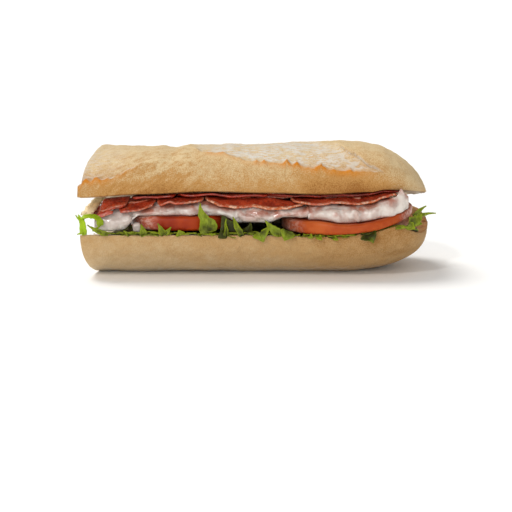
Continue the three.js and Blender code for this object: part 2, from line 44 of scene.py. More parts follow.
# Loaf
CUT_SLANT = math.tan(math.radians(14))
CUT_FADE = 40
BASE_TIP_X = 67.8
LID_TIP_X = 67.3
TAPER_X = 38
TIP_SHARE = 0.999
GAP = 0.3

# Lower bread
BASE_CUT_X = -67.4
BASE_HALF_WIDTH = 32
LIP_Z = 17.4
BELLY = 18.4
BASE_PLAN_POWER = 3
BELLY_POWER = 3
BELLY_TAPER_X = 20
CUT_DIP = [(-32, 0), (-20, 1.4), (0, 1.9), (12, 1.7), (19, 0.6), (25, -0.3), (32, 0)]
PRESS = {"x": 34, "half": 20, "depth": 1.1, "y": (-32, -6)}
CUT_RISE = [(33, 0), (45, 1.4), (55, 3.4)]
SHOULDER = {"height": 2.6, "x": (54, 64), "edge": 0.7}
END_RISE = {"height": 3.6, "x": 45, "y": (-24, 4)}

LIP_LIFT = {"x": 39, "half": 15, "height": 0.7, "width": 2.6, "below": 6}
BASE_LIP_WIDTH = 3
BASE_GRAIN = 0.6
# Colour level of the lower bread by height and along it. By height it is lighter low down and darker higher
# up: painted light against the shade that falls low on its side. Along it, it darkens from the cut end
# towards x 40 to 55: painted shade where the tip faces away from the light
BASE_PAINTED_LIGHT_BY_HEIGHT = [(0, -0.1), (5, 0), (10, 0.25), (17, 0.45)]
BASE_BAKE_AND_SHADE_ALONG = [(-50, 0.25), (0, 0.45), (40, 0.85), (55, 0.85), (66, 0.6)]
BASE_CRUMB_FADES = (55, 62)
# Painted light on the lower bread's open top near the tip, which lies in the upper bread's shadow: a paler
# colour level and a warm orange through the ear mask
BASE_TOP_PAINTED_LIGHT = 0.8
BASE_TIP_PAINTED_WARMTH = {"share": 0.5, "x": (50, 58)}
BASE_DUST = {"share": 0.6, "z": (0.5, 5)}

# Upper bread
LID_CUT_X = -68.5
LID_HALF_WIDTH = 32.4
LID_RISE = 22.6
LID_ROUNDNESS = 2.1
LID_UNDERCUT = [(-69, 5), (-46, 24)]
LID_PLAN_POWER = 2.2
LID_RISE_POWER = 1.56
LID_CREST = [(-69, 1.6), (-62, 1), (-52, 0.4), (-45, -0.3), (-39, -0.1), (-32, -1.1), (-26, -0.1), (-16, 0.1),
             (-10, 0.7), (-3, 0.5), (3, 0.8), (10, 1.2), (16, 1.6), (23, 1.2), (32, 1), (39, -0.3)]
LID_SPAN = 60.5
LID_LIP_Z = [(-69, 31.8), (-45, 33.2), (-19, 34.3), (5, 33.8), (26, 33.2), (44, 33.9), (50, 34.9), (56, 34.9),
             (62, 34.6)]
LID_HINGE_Z = [(15, 17.9), (62, 25)]
LID_GAP = 0.4
POCKET_BACK_Y = [(-68, 5), (-48, 19)]
POCKET_END = (-4, 3)
HINGE_OPENS_X = (40, 66)
LID_HOLLOW = [(-31, 0), (-24, -1.2), (-16, 0.7), (-6, 2.6), (8, 2.6), (31, 0)]

# Scores in the upper crust. The raised ear and the far edge are (x, degrees up from the front lip), the ear's
# teeth are (x, half width, height), and the rest are (x, amount)
SCORES = [
    {
        "ear": [(-80, 6), (-68, 8), (-65, 13), (-60, 14), (-56, 15), (-53, 20), (-48, 26), (-45, 31),
                (-37, 40), (-29, 54), (-22, 88)],
        "far": [(-80, 100), (-40, 100), (-27, 96)],
        "far_fade": 50,
        "depth": [(-68, 2.5), (-58, 2), (-40, 0.5)],
        "teeth": [(-65.8, 2, 0.7), (-61.4, 1.7, 0.7), (-57, 1.2, 0.2)],
        "flour": [(-68, 0.5), (-58, 0.25), (-48, 0.05)],
        "crease": [(-68, 0.3), (-62, 0.8), (-56, 1), (-49, 0.9), (-43, 0)],
        "brown": [(-69, 0.8), (-60, 0.7), (-56, 0.35), (-50, 0.35), (-44, 0)],
        "groove": [(0, 0), (1, 0)],
    },
    {
        "ear": [(-26, 62), (-20.6, 45), (-13, 42), (-10, 38), (-7, 35), (-3, 32), (0, 30.2), (7.4, 29),
                (12, 28), (15.6, 26.2), (20, 24.8), (25, 23.8), (30, 22.8), (36, 21.5), (45, 22.2), (50, 23)],
        "far": [(-26, 100), (0, 97), (20, 85), (30, 66), (37, 48), (44, 33), (50, 24)],
        "far_fade": 14,
        "depth": [(-30, 0.6), (0, 1)],
        "teeth": [(-13, 2.6, 0.3), (0.3, 1.6, 0.4), (3.1, 1.5, 0.6), (11.7, 1.7, 0.8), (15.6, 1.5, 0.6),
                  (24.7, 2.4, 1), (29.8, 1.2, 0.2), (35.8, 1.6, 0.35)],
        "flour": [(-26, 0.5), (-5, 1), (20, 1), (36, 0.75)],
        "crease": [(-20, 0.3), (10, 0.6), (40, 0.6)],
        "brown": [(-22, 0), (-18, 0.45), (-10, 0.25), (-4, 0.2), (8, 0.45), (28, 0.6), (35, 0.75),
                  (43, 0.3), (50, 0)],
        "groove": [(24, 0), (36, 1)],
    },
]
EAR_HEIGHT = 0.8
EAR_LEAST = 0.4
EAR_WIDTH = (7, 1.2)
EAR_FADE = (45, 80)
EAR_END = 6
EAR_RAGGED = 0.9
EAR_BROWN = {"at": -0.7, "widths": (3.8, 2.1)}
TOOTH_RISE = 4.6
TOOTH_POWER = 0.8
SCORE_FLOOR = (0.5, 6)
SCORE_SHALLOW = {"degrees": (60, 95), "share": 0.35}
GROOVE = {"depth": 0.9, "at": 3, "half": 1.6}
CREASE = {"at": 1.5, "half": 1.1}
SMOOTH_LIP = 0.3
# How far from the front lip the upper bread's underside is drawn as dark crust: partly its crust edge, partly
# painted shade under the lip
UNDERSIDE_CRUST_AND_SHADE = (0.78, 0.95)
UNDERSIDE_LIP = 0.12
FLOURY_LUMPS = [(0.24, 2.6), (0.1, 0.95)]
SKIN = (0.3, 1.8)
PITTED = (0, 2)
# Colour level of the upper crust, around it in degrees from the front lip and along it in x. Around, it
# darkens towards both lips: partly the crust's browning, partly painted shade low on its sides. Along, it is
# paler from x -15 to 12 as a painted highlight below the second score's ear, and darker from x 24 to 48 as
# painted shade
LID_BAKE_AND_SHADE = [(0, 0.95), (8, 0.86), (16, 0.62), (25, 0.42), (40, 0.22), (65, 0.02), (115, 0.02),
            (140, 0.3), (160, 0.55), (176, 0.75)]
LID_BAKE_SHADE_AND_HIGHLIGHT_ALONG = [(-68, 0.8), (-40, 1.05), (-28, 1), (-15, 0.7), (12, 0.75), (24, 1.3), (38, 1.45), (48, 1.1),
                  (54, 0.6), (62, 0.3)]
LID_BAKE_LEAST = 0.08
STREAKED = {"from": (-62, -54), "to": (-26, -14)}
BREAD_MASKS = ("crumb", "bake", "flour", "ear", "streak", "grain")

# Crumb torn loose under the upper bread at the cut end
FLAP = {
    "root_x": -58.3, "root_y": -7, "tip_x": -63.2, "tip_y": -30.6, "tip_z": 25.4, "thick": 1.5, "embed": 1.1,
}
FLAP_LUMPS = [(0.35, 3), (0.2, 1.2)]

# Tomato slices. Each is pale at its ends, as (which way along x, from, fully so from), both counted that way.
# The pale ends are partly the clear pulp with its fibres and partly a painted wet highlight
TOMATO_POWER = 2.6
TOMATO_RIM = 0.05
TOMATO_EDGE = 6
TOMATO_HUB = 0.02
TOMATO_FLESH = (0.9, 0.97)
TOMATO_LUMPS = [(0.22, 9), (0.05, 2.5)]
TOMATO_DIMPLES = [(0.25, 2.8)]
TOMATOES = {
    "left": {
        "x": -29, "y": -10.2, "half_x": 20.3, "half_y": 21, "z": 19, "tilt": 0.04, "curl_x": 100, "curl": 0,
        "thick": [(-29, 5.4), (0, 5.4)], "pale": [(-1, 36, 43)],
    },
    "right": {
        "x": 35.6, "y": -9.6, "half_x": 25.5, "half_y": 25, "z": 17.7, "tilt": 0.012, "curl_x": 30, "curl": 6,
        "thick": [(23, 5.2), (36, 3.8)], "pale": [(1, 54, 60), (-1, -20, -11)],
    },
}
CURL_REACH = 31

# Salami: the slices hang under the bread at a depth and fall away to their rims, both given as (x, depth). A
# slice's pale is how pale its rim is drawn: partly the rim's own lighter colour, partly a painted highlight
# along it
SLICE = 0.75
SLICES = {
    "salami_lower_1": {
        "back": [(-68, 6.6), (-61.8, 6.6), (-58, 1.2), (-49.6, 0.9)],
        "rim": [(-68, 9), (-62, 7.6), (-59, 7), (-55, 5.9), (-49.6, 5.2)],
        "y": (-30.6, -20), "pale": 0.1,
    },
    "salami_lower_2": {
        "back": [(-53.4, 3.6), (-46, 1.95)],
        "rim": [(-53.4, 7), (-48, 6.4), (-40.6, 5.3), (-38.8, 4.5)],
        "y": (-30.6, 0), "pale": 0.2,
    },
    "salami_lower_3": {
        "back": [(-38.4, 1.95), (-19.9, 1.95)],
        "rim": [(-38.4, 5.6), (-33, 3.5), (-30.4, 4.6), (-19.9, 4.4)],
        "y": (-30.2, 1), "pale": 0.6,
    },
    "salami_lower_4": {
        "back": [(-19.5, 1.95), (5, 1.95), (12.4, 3.1), (18.6, 3.1)],
        "rim": [(-19.5, 5), (-12, 5.9), (-2, 6.3), (11, 6.1), (18.6, 5.6)],
        "y": (-30.4, 1), "pale": 1,
    },
    "salami_lower_5": {
        "back": [(13.4, 1.95), (54.6, 1.95)],
        "rim": [(13.4, 4.2), (20, 4.4), (28, 4.1), (40, 4.5), (49, 2.9), (54.6, 2)],
        "y": (-30.2, 1), "pale": 0.8,
    },
    "salami_upper_1": {
        "back": [(-48.6, 0.7), (-30.9, 0.7)],
        "rim": [(-48.6, 2.2), (-42, 1.7), (-30.9, 1.8)],
        "y": (-28.4, 0), "pale": 0,
    },
    "salami_upper_2": {
        "back": [(-30.5, 0.7), (5, 0.7)],
        "rim": [(-30.5, 1.6), (-16, 2), (5, 1.8)],
        "y": (-28.2, 1), "pale": 0,
    },
    "salami_upper_3": {
        "back": [(5.4, 0.7), (56, 0.7)],
        "rim": [(5.4, 1.9), (22, 1.7), (39, 1.5), (56, 0.9)],
        "y": (-25.6, 1), "pale": 0,
    },
}
UNDER_RIMS = [(-69, 7.8), (-54, 7.3), (-48, 6.7), (-38, 5.8), (-29, 4.9), (-20, 5.2), (-12, 6.1), (-2, 6.5),
              (11, 6.3), (18.6, 5.8), (20.5, 4.7), (28, 4.3), (40, 4.7), (49, 3.1), (54.6, 2.3)]
UNDER_BACK = [(-54, 4), (-45, 2.3), (5, 2.3), (12, 3.4), (18.6, 3.4), (21, 2.3)]

# Folds on the faces of slices, as paths of (x, z)
FOLDS = {
    "salami_lower_1": [
        [(-64.2, 24.4), (-57, 27.1), (-50, 29.2)],
        [(-63.4, 24.2), (-59, 24.6), (-54.8, 25.7)],
    ],
    "salami_lower_2": [
        [(-52, 26.2), (-45.2, 26.8), (-39.8, 28.9)],
        [(-49.6, 29), (-44, 29.6), (-40, 30.4)],
    ],
    "salami_lower_4": [[(-9, 31), (4, 30.8), (14, 30.6)]],
    "salami_lower_5": [[(22, 31), (33, 30.7), (44, 31.4)]],
}
FOLD = {"high": 1.8, "out": 0.7, "thick": 0.5}
FOLD_WAVES = [(0.35, 5), (0.15, 1.6)]
SLICE_ROUND = 5
SLICE_CORNER = 9
SLICE_BLUNT = 0.98
DROOP_REACH = (24.5, 30.5)
DROOP_POWER = 1.3
RIPPLE = {"height": 0.15, "length": 17, "slant": 0.35}

# Soft cheese. Dents, creases and pink patches are (x, half width, amount). The pink patches are partly stains
# from the salami and partly its painted reflection, and round x 12.5 on the left piece painted shade under a
# slice
CHEESE_BACK_Y = -7
CHEESE_GAP = 0.05
CHEESE_ROUNDNESS = {"upper": 5, "lower": 12}
CHEESE_LEAST = 0.6
CHEESE_BLUNT = 0.8
CURDS = {"count": 60, "size": (1.4, 3.8), "height": 0.27}
CHEESE_OPEN_X = (53.6, 56)
CHEESE_ROLLS = [(0.9, 7), (0.4, 3)]
CHEESE_GRAINS = [(0.1, 1.1)]
CHEESE_CALM_X = (-48, -44)
CHEESE_REFLECTION_X = (-49, -44)
LUMP = {"centre": (-45.9, -28.6, 19.9), "half": (1.5, 1.5, 2), "roundness": 0.6}
CHEESE_CLEAR = (1.1, 1.32)
CHEESES = {
    "left": {
        "from": -62,
        "to": 20.4,
        "ends": (3.5, 0.4),
        "front": [(-62, -30), (-55, -31.6), (-46, -30), (-25, -29.4), (0, -31.2), (19, -30)],
        "back": [(-62, -24), (-50, CHEESE_BACK_Y), (19, CHEESE_BACK_Y)],
        "low": [(-62, 18.7), (-46, 18.7), (-12, 21.8), (5, 21.8), (11, 23.8)],
        "high": [(-62, 24), (-57, 26), (-48, 30), (19, 30)],
        "dents": [],
        "creases": [(-47.3, 0.6, 2.2), (-30, 0.9, 0.8), (-8, 0.8, 0.8)],
        "stains": [(12.5, 7, 1.6), (-2, 4, 0.5), (-22, 4, 0.6), (-40, 5, 0.8)],
    },
    "right": {
        "from": 19.9,
        "to": 58.6,
        "ends": (0.4, 2.5),
        "front": [(20, -31), (30, -33.2), (45, -32.4), (56, -28.6), (58.6, -26.4)],
        "back": [(21, CHEESE_BACK_Y), (48, CHEESE_BACK_Y), (53, -27.8), (56, -25.9), (58.6, -23.7)],
        "low": None,
        "high": [(21, 29.5), (48, 31), (51, 34), (55.4, 35.4), (57, 33.4), (58.6, 32)],
        "dents": [(32.4, 1.2, 1.5)],
        "creases": [(32.6, 1, 0.8), (38.4, 1, -0.9), (44, 0.8, 0.4)],
        "stains": [(21, 3, 0.9), (31, 3, 0.7), (40, 3, 0.5), (50, 5, 0.5)],
    },
}

# Lettuce: each leaf lies on the bread from one x to another and shows leaflets at the lip. A leaflet has
# a base, a tip, a half width, a roundness and a shade, above 0 in the dark and below 0 where it is bright
LEAF = 0.4
LEAF_BACK_Y = 7
LEAF_NARROWS = {"x": (44, 54), "from_lip": 6}
LEAF_RETREAT = [(-64, 1.4), (16, 1.6), (22, 2.6), (32, 3.4), (52, 4), (57, 1.4)]
STRANDS = {"every": 1.9, "length": (2, 5.5), "half": (0.18, 0.42), "slope": (-0.3, 0.3), "up": (-0.2, 0.4),
           "out": (0.2, 0.9)}
LEAVES = {
    "left": (-58.5, -27.5, [
        ((-58.2, -32.6, 17.6), (-59.4, -33.2, 19.4), 1.2, 1.2),
        ((-48.4, -32.6, 17.5), (-50.6, -33, 19.4), 1, 1),
        ((-43, -32.4, 17.4), (-44, -33.2, 21.8), 2, 1),
        ((-35.4, -32.4, 17.4), (-37.4, -33.4, 22.2), 2, 1),
        ((-34.8, -32.8, 17.8), (-32.4, -33.4, 20.8), 1.3, 1.2),
        ((-28.8, -32.6, 17.4), (-29.6, -33.2, 19.6), 2, 1.2),
    ]),
    "middle": (-26.5, 17, [
        ((-17.6, -32.4, 18.4), (-21.8, -33.6, 29.8), 4.6, 0.9),
        ((-9.6, -31.8, 17), (-13, -32.2, 25), 4.6, 1.7, 1.2),
        ((-11.2, -33.2, 17.2), (-11.6, -33.8, 24), 0.9, 1.5),
        ((-5.4, -32.8, 17.2), (-8.6, -33.2, 24.8), 1.5, 1.5),
        ((1.4, -33, 18.8), (3, -34.8, 15.4), 3.8, 1.4),
        ((2.6, -33, 18.2), (4.8, -33.6, 21.2), 1.4, 1.2),
        ((9.4, -33, 17.6), (3.2, -33.4, 23), 2, 2),
        ((12.2, -33, 19.4), (10.8, -35, 15.8), 3.6, 1.5),
        ((-3.4, -29.6, 16.6), (-2, -30, 22.4), 2.6, 1.2, 0.9),
        ((4.4, -29, 16.6), (6, -29.4, 21.6), 2.4, 1.2, 1),
    ]),
    "right": (18, 62.6, [
        ((20.4, -33.4, 17.6), (21.6, -34.6, 16.6), 1.4, 1.2),
        ((23.8, -33.2, 17.4), (25.2, -34.6, 16), 1.5, 1.2),
        ((29.6, -33, 16.8), (31.4, -34.4, 16), 1.3, 1.2),
        ((43, -32.8, 18.2), (44.8, -35, 15), 4.2, 1.2, 0.7),
        ((58.6, -28.8, 21.4), (61, -29.4, 19.2), 2, 1.6),
        ((59.4, -28.6, 21.2), (64.2, -26, 24.8), 2.3, 2.4),
        ((60.6, -27, 24), (65.4, -25.2, 28.2), 0.9, 2),
        ((62.4, -26.2, 24.4), (69.4, -24.8, 25.4), 0.6, 3),
        ((53.6, -30.8, 20), (59.6, -30, 20.2), 0.6, 1.4),
        ((61, -27.6, 22), (64, -26.8, 21), 1.4, 1.8),
    ]),
}
STRANDS_END = 46
LEAFLET_FACING = (0, -1, 0.15)
RIB = {"height": 0.12, "half": 0.12}
FRILL = {"least": 0.3, "reach": 0.8, "clear": 0.1, "angle": (30, 50)}
RUFFLES = [(0.45, 2.6), (0.2, 1.2)]
LEAF_TURN = {"x": (46, 66), "angle": math.radians(40)}

# Lettuce that arches over the cut end: a ribbon's path, its half width across each point of it, and leaflets
ARCH_PATH = [(-66.4, -33, 23.2), (-66.4, -33.4, 24.6), (-63.6, -33.2, 25), (-60.8, -32.6, 24.4),
             (-59.6, -32.6, 22.2), (-60.6, -33.4, 20.2), (-62.4, -34, 19.8)]
ARCH_ACROSS = [(0.8, 0.6, 0), (0.3, 0.9, 0.5), (0.1, 1, 0.5), (0.4, 0.9, 0.6), (1.3, 0.5, 0), (0.7, 0.5, 0.8),
               (0.2, 0.2, 0.4)]
ARCH_LEAFLETS = [
    ((-65.6, -32.6, 17.6), (-67.6, -33.4, 25.6), 1.3, 4, -0.9),
    ((-56.6, -32.8, 17.8), (-64.6, -34.2, 21.4), 1, 2.2, 0),
    ((-66.4, -33.2, 22), (-69, -33.6, 25.4), 0.5, 1.4, -0.6),
    ((-66, -32.8, 18.6), (-68.4, -33.2, 18), 0.6, 1.4, -0.6),
]

# How finely the meshes are divided. The upper bread's ring is in runs of (from degrees, to degrees, steps)
LOAF_ROWS = 300
TIP_ROWS = 70
BASE_HALF_RING = 130
LID_RING = [(180, 78, 46), (78, 6, 130), (6, 0, 6)]
CAP_ROWS = 40
FLAP_GRID = (60, 44)
CHEESE_STEP = 0.5
CHEESE_HALF_RING = 44
CHEESE_END_ROWS = 3
TOMATO_RING = 220
TOMATO_ROWS = 24
TOMATO_EDGE_ROWS = 22
SLICE_STEP = 0.4
SLICE_ROWS = 44
FOLD_GRID = (80, 9)
LEAF_STEP = 0.28
LEAF_BED_ROWS = 12
LEAF_MARGIN_ROWS = 26
LUMP_GRID = (26, 48)
ARCH_GRID = (13, 110)

# Light: suns seen towards a direction, with their spread in degrees, in white surroundings
SUNS = {
    "key": {"towards": (-0.4, 0.3, 0.86), "strength": 1.9, "spread": 30, "colour": (1, 0.985, 0.96)},
    "fill": {"towards": (-0.15, -0.97, 0.16), "strength": 1.4, "spread": 50, "colour": (1, 0.99, 0.97)},
    "glint": {"towards": (-0.35, -0.7, 0.62), "strength": 0.6, "spread": 4, "colour": (1, 1, 1)},
}
SURROUNDINGS = 0.42

# Floor and camera, in metres
FLOOR_RADIUS = 14
FLOOR_Z = -0.00005
VIEW_ELEVATION = math.radians(9.2)
VIEW_DISTANCE = 0.8
VIEW_TARGET = Vector((0, 0, 0.0042))
LENS_PIXELS = 2000
PICTURE_PIXELS = 512
SENSOR = 36


def lerp(a, b, t):
    return a + (b - a) * t


def smoothstep(x, start, end):
    t = np.clip((x - start) / (end - start), 0, 1)
    return t * t * (3 - 2 * t)


def bell(x, at, half):
    """A smooth hump of height 1 at a place."""
    return np.exp(-(((x - at) / half) ** 2))


def humps(x, places):
    """Humps given by their places, half widths and heights."""
    return sum(high * bell(x, at, half) for at, half, high in places)


def through(stations, x):
    """A smooth curve through (x, value) stations."""
    places, values = np.array(stations, float).T
    after = np.clip(np.searchsorted(places, x, side="right"), 1, len(places) - 1)
    return lerp(values[after - 1], values[after], smoothstep(x, places[after - 1], places[after]))


def points_of(x, y, z):
    return np.stack(np.broadcast_arrays(x, y, z), -1).astype(float)


NOISE_CELLS = 4096
NOISE_GAIN = 1.6
GRADIENTS = np.random.default_rng(11).normal(size=(NOISE_CELLS, 3))
GRADIENTS /= np.linalg.norm(GRADIENTS, axis=1, keepdims=True)


def noise(points, size, seed=0):
    """A smooth random field, about -1 to 1, with lumps of the given size."""
    cell = np.asarray(points, float) / size + 31.7 * seed
    corner = np.floor(cell).astype(np.int64)
    part = cell - corner
    ease = part**3 * (part * (part * 6 - 15) + 10)
    total = np.zeros(part.shape[:-1])
    for step in np.ndindex(2, 2, 2):
        x, y, z = np.moveaxis(corner + step, -1, 0)
        key = (x * 73856093 ^ y * 19349663 ^ z * 83492791) % NOISE_CELLS
        slope = (GRADIENTS[key] * (part - step)).sum(-1)
        total += slope * np.where(step, ease, 1 - ease).prod(-1)
    return total * NOISE_GAIN


def waver(x, size, seed=0):
    """Noise along one line."""
    x = np.asarray(x, float)
    return noise(points_of(x, 0.5 * size, 0.25 * size), size, seed)


def rough(points, lumps, seed):
    """Noise of several (height, size) together."""
    return sum(height * noise(points, size, seed + number) for number, (height, size) in enumerate(lumps))


def wavy(x, lumps, seed):
    """Noise of several (height, size) together, along one line."""
    return sum(height * waver(x, size, seed + number) for number, (height, size) in enumerate(lumps))


def taper(x, power, tip, start=TAPER_X):
    """How far the loaf has narrowed: 1 along its body, 0 at its tip."""
    t = np.clip((x - start) / (tip - start), 0, 1)
    return (1 - t**power) ** (1 / power)


def slanted(x, y):
    """The knife's slant at the cut end, fading out along the loaf."""
    fade = 1 - np.clip((x - LID_CUT_X) / CUT_FADE, 0, 1)
    return x + CUT_SLANT * (y + BASE_HALF_WIDTH) * fade


def loaf_stations(start, tip):
    body = np.linspace(start, TAPER_X, LOAF_ROWS)
    end = TIP_SHARE * np.sin(np.linspace(0, math.pi / 2, TIP_ROWS + 1)[1:])
    return np.concatenate([body, lerp(TAPER_X, tip, end)])


def shoulder_drop(x, y):
    """How far the lower bread's upper face falls away to its edge round the tip."""
    along = np.clip((x - TAPER_X) / (BASE_TIP_X - TAPER_X), 0, 1)
    across = np.abs(y) / BASE_HALF_WIDTH
    edge = (along**BASE_PLAN_POWER + across**BASE_PLAN_POWER) ** (1 / BASE_PLAN_POWER)
    return SHOULDER["height"] * smoothstep(x, *SHOULDER["x"]) * smoothstep(edge, SHOULDER["edge"], 1)


def cut_height(x, y):
    """Upper face of the lower bread."""
    pressed = bell(x, PRESS["x"], PRESS["half"]) * (1 - smoothstep(y, *PRESS["y"]))
    raised = END_RISE["height"] * smoothstep(x, END_RISE["x"], BASE_TIP_X) * smoothstep(y, *END_RISE["y"])
    rise = through(CUT_RISE, x) + raised - shoulder_drop(x, y)
    return LIP_Z - through(CUT_DIP, y) - PRESS["depth"] * pressed + rise


def lid_frame(x):
    lip = through(LID_LIP_Z, x)
    hinge = through(LID_HINGE_Z, x)
    return (lip + hinge) / 2, np.arctan((lip - hinge) / LID_SPAN)


def lid_point(x, v, h):
    middle, tilt = lid_frame(x)
    y = h * np.sin(tilt) - v * np.cos(tilt)
    return points_of(slanted(x, y), y, middle + v * np.sin(tilt) + h * np.cos(tilt))


def lid_height(x, y):
    """Underside of the upper bread: open over the filling, shut on the lower bread behind it."""
    middle, tilt = lid_frame(x)
    v = -y / np.cos(tilt)
    narrow = np.maximum(taper(x, LID_PLAN_POWER, LID_TIP_X), 1e-6)
    hollow = through(LID_HOLLOW, v / narrow) * taper(x, LID_RISE_POWER, LID_TIP_X)
    back = through(POCKET_BACK_Y, x)
    behind = smoothstep(y, back + POCKET_END[0], back + POCKET_END[1])
    shut = behind * (1 - smoothstep(x, *HINGE_OPENS_X))
    return lerp(middle + v * np.sin(tilt) + hollow * np.cos(tilt), cut_height(x, y) + LID_GAP, shut)


def grid_faces(index):
    """Quads of a grid of point numbers."""
    return np.stack([index[:-1, :-1], index[:-1, 1:], index[1:, 1:], index[1:, :-1]], -1).reshape(-1, 4)


def loft_faces(rows, count):
    """Quads between rings of points that close on themselves."""
    index = np.arange(rows * count).reshape(rows, count)
    return grid_faces(np.concatenate([index, index[:, :1]], 1))


def outward(rings):
    """Unit normals of rings of points."""
    around = np.roll(rings, -1, 1) - np.roll(rings, 1, 1)
    normal = np.cross(around, np.gradient(rings, axis=0))
    return normal / np.maximum(np.linalg.norm(normal, axis=-1, keepdims=True), 1e-9)


class Shape:
    """Points, faces and named masks of one piece while it is put together."""

    def __init__(self, points, faces, **masks):
        self.points = np.asarray(points, float).reshape(-1, 3)
        self.faces = [tuple(face) for face in faces]
        self.masks = {name: np.asarray(mask, float).reshape(-1) for name, mask in masks.items()}

    def extend(self, points, masks):
        """Adds points with their masks and returns the index of the first."""
        first = len(self.points)
        points = np.asarray(points, float).reshape(-1, 3)
        self.points = np.concatenate([self.points, points])
        for name, mask in self.masks.items():
            more = np.broadcast_to(np.asarray(masks.get(name, 0.0), float).reshape(-1), len(points))
            self.masks[name] = np.concatenate([mask, more])
        return first

    def close(self, start, count, inside, masks, turned):
        """Closes the ring of count points from start with rows of points between its two halves."""
        half = count // 2
        near = start + np.arange(1, half)
        far = start + count - np.arange(1, half)
        first = self.extend(inside, masks)
        middle = first + np.arange(len(inside) * (half - 1)).reshape(-1, half - 1)
        index = np.concatenate([near[None], middle, far[None]])
        ends = [(start, b, a) for a, b in zip(index[1:, 0], index[:-1, 0])]
        ends += [(start + half, a, b) for a, b in zip(index[1:, -1], index[:-1, -1])]
        for face in [*grid_faces(index).tolist(), *ends]:
            self.faces.append(tuple(face) if turned else tuple(reversed(face)))


def rows_between(ring, rows):
    """Rows of points between the two halves of a ring."""
    half = len(ring) // 2
    near = ring[1:half]
    far = ring[:half:-1]
    share = np.linspace(0, 1, rows + 2)[1:-1, None, None]
    return lerp(near[None], far[None], share)


def closed_loft(rings, first, first_masks, last, **masks):
    """A solid through rings of points, with rows of points across its first and its last ring."""
    rows, count = rings.shape[:2]
    shape = Shape(rings, loft_faces(rows, count), **masks)
    shape.close(0, count, first, first_masks, False)
    shape.close((rows - 1) * count, count, last, {}, True)
    return shape


def sheet(grid, thick, **masks):
    """A thin solid on both sides of a grid of points."""
    rows, columns = grid.shape[:2]
    normal = np.cross(np.gradient(grid, axis=1), np.gradient(grid, axis=0))
    normal /= np.maximum(np.linalg.norm(normal, axis=-1, keepdims=True), 1e-9)
    points = np.concatenate([grid + normal * thick / 2, grid - normal * thick / 2])
    count = rows * columns
    index = np.arange(count).reshape(rows, columns)
    top = grid_faces(index)
    rim = np.concatenate([index[0], index[1:, -1], index[-1, -2::-1], index[-2:0:-1, 0]])
    after = np.roll(rim, -1)
    side = np.stack([rim, rim + count, after + count, after], -1)
    faces = np.concatenate([top, top[:, ::-1] + count, side])
    doubled = {name: np.concatenate([np.ravel(mask)] * 2) for name, mask in masks.items()}
    return Shape(points, faces.tolist(), **doubled)


def add_piece(name, shape, material, node):
    """Makes the mesh, with its masks as point attributes, and lets it ride for its solid."""
    mesh = bpy.data.meshes.new(name)
    mesh.from_pydata((shape.points * MM).tolist(), [], shape.faces)
    for mask, values in shape.masks.items():
        attribute = mesh.attributes.new(mask, "FLOAT", "POINT")
        attribute.data.foreach_set("value", values.astype(np.float32))
    mesh.shade_smooth()
    mesh.materials.append(material)
    piece = bpy.data.objects.new(name, mesh)
    bpy.context.scene.collection.objects.link(piece)
    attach(piece, "root")
    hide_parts(node)
    return piece


def bread_masks(shape, **given):
    """The masks that the bread's finish reads, zero where none is given."""
    return {name: given.get(name, 0) + np.zeros(shape) for name in BREAD_MASKS}


def pores(points):
    """Depth of the holes in the crumb."""
    large = smoothstep(noise(points, 5.5, 1), 0.22, 0.6) * 1.3
    small = smoothstep(noise(points, 2.1, 2), 0.1, 0.6) * 0.6
    fine = 0.14 * noise(points, 0.9, 3)
    return large + small + fine


def crust_lumps(points):
    """Unevenness of a smooth crust."""
    x, y, z = np.moveaxis(points, -1, 0)
    diagonal = points_of(0.3 * (x + z), y, z - x)
    return 0.3 * noise(points, 13, 4) + 0.2 * noise(diagonal, 3.2, 5) + 0.07 * noise(points, 1.1, 6)


def crumb_end(ring, crust):
    """Rows of points across the cut end, pitted away from the crust, with their masks."""
    inside = rows_between(ring, CAP_ROWS)
    skin = np.linalg.norm(inside - crust, axis=-1)
    inside[..., 0] += pores(inside) * smoothstep(skin, *PITTED)
    return inside, {"crumb": smoothstep(skin, *SKIN), "bake": 0.3}


def base_rings(x):
    """Rings of the lower bread from the cut end to the tip, over its open face and back under its crust."""
    half = BASE_HALF_WIDTH * taper(x, BASE_PLAN_POWER, BASE_TIP_X)
    belly = (BELLY + through(CUT_RISE, x)) * taper(x, BELLY_POWER, BASE_TIP_X, BELLY_TAPER_X)
    y = half * np.linspace(1, -1, BASE_HALF_RING + 1)
    cut = points_of(slanted(x, y), y, cut_height(x, y))
    angle = np.linspace(0, math.pi, BASE_HALF_RING + 1)[1:-1]
    y = -half * np.cos(angle)
    lip = lerp(cut_height(x, np.sign(y) * half), LIP_Z + through(CUT_RISE, x), np.sin(angle))
    under = points_of(slanted(x, y), y, lip - belly * np.sin(angle))
    return np.concatenate([cut, under], 1)


def lift_lip(rings, x, half):
    """Raises a stretch of the lower bread's lip on the open side, and keeps the crust off the floor."""
    lifted = LIP_LIFT["height"] * np.exp(-(((x - LIP_LIFT["x"]) / LIP_LIFT["half"]) ** 4))
    near_lip = 1 - smoothstep(rings[..., 1] + half, 0, LIP_LIFT["width"])
    high = smoothstep(rings[..., 2], LIP_Z - LIP_LIFT["below"], LIP_Z)
    rings[..., 2] = np.maximum(rings[..., 2] + lifted * near_lip * high, 0)


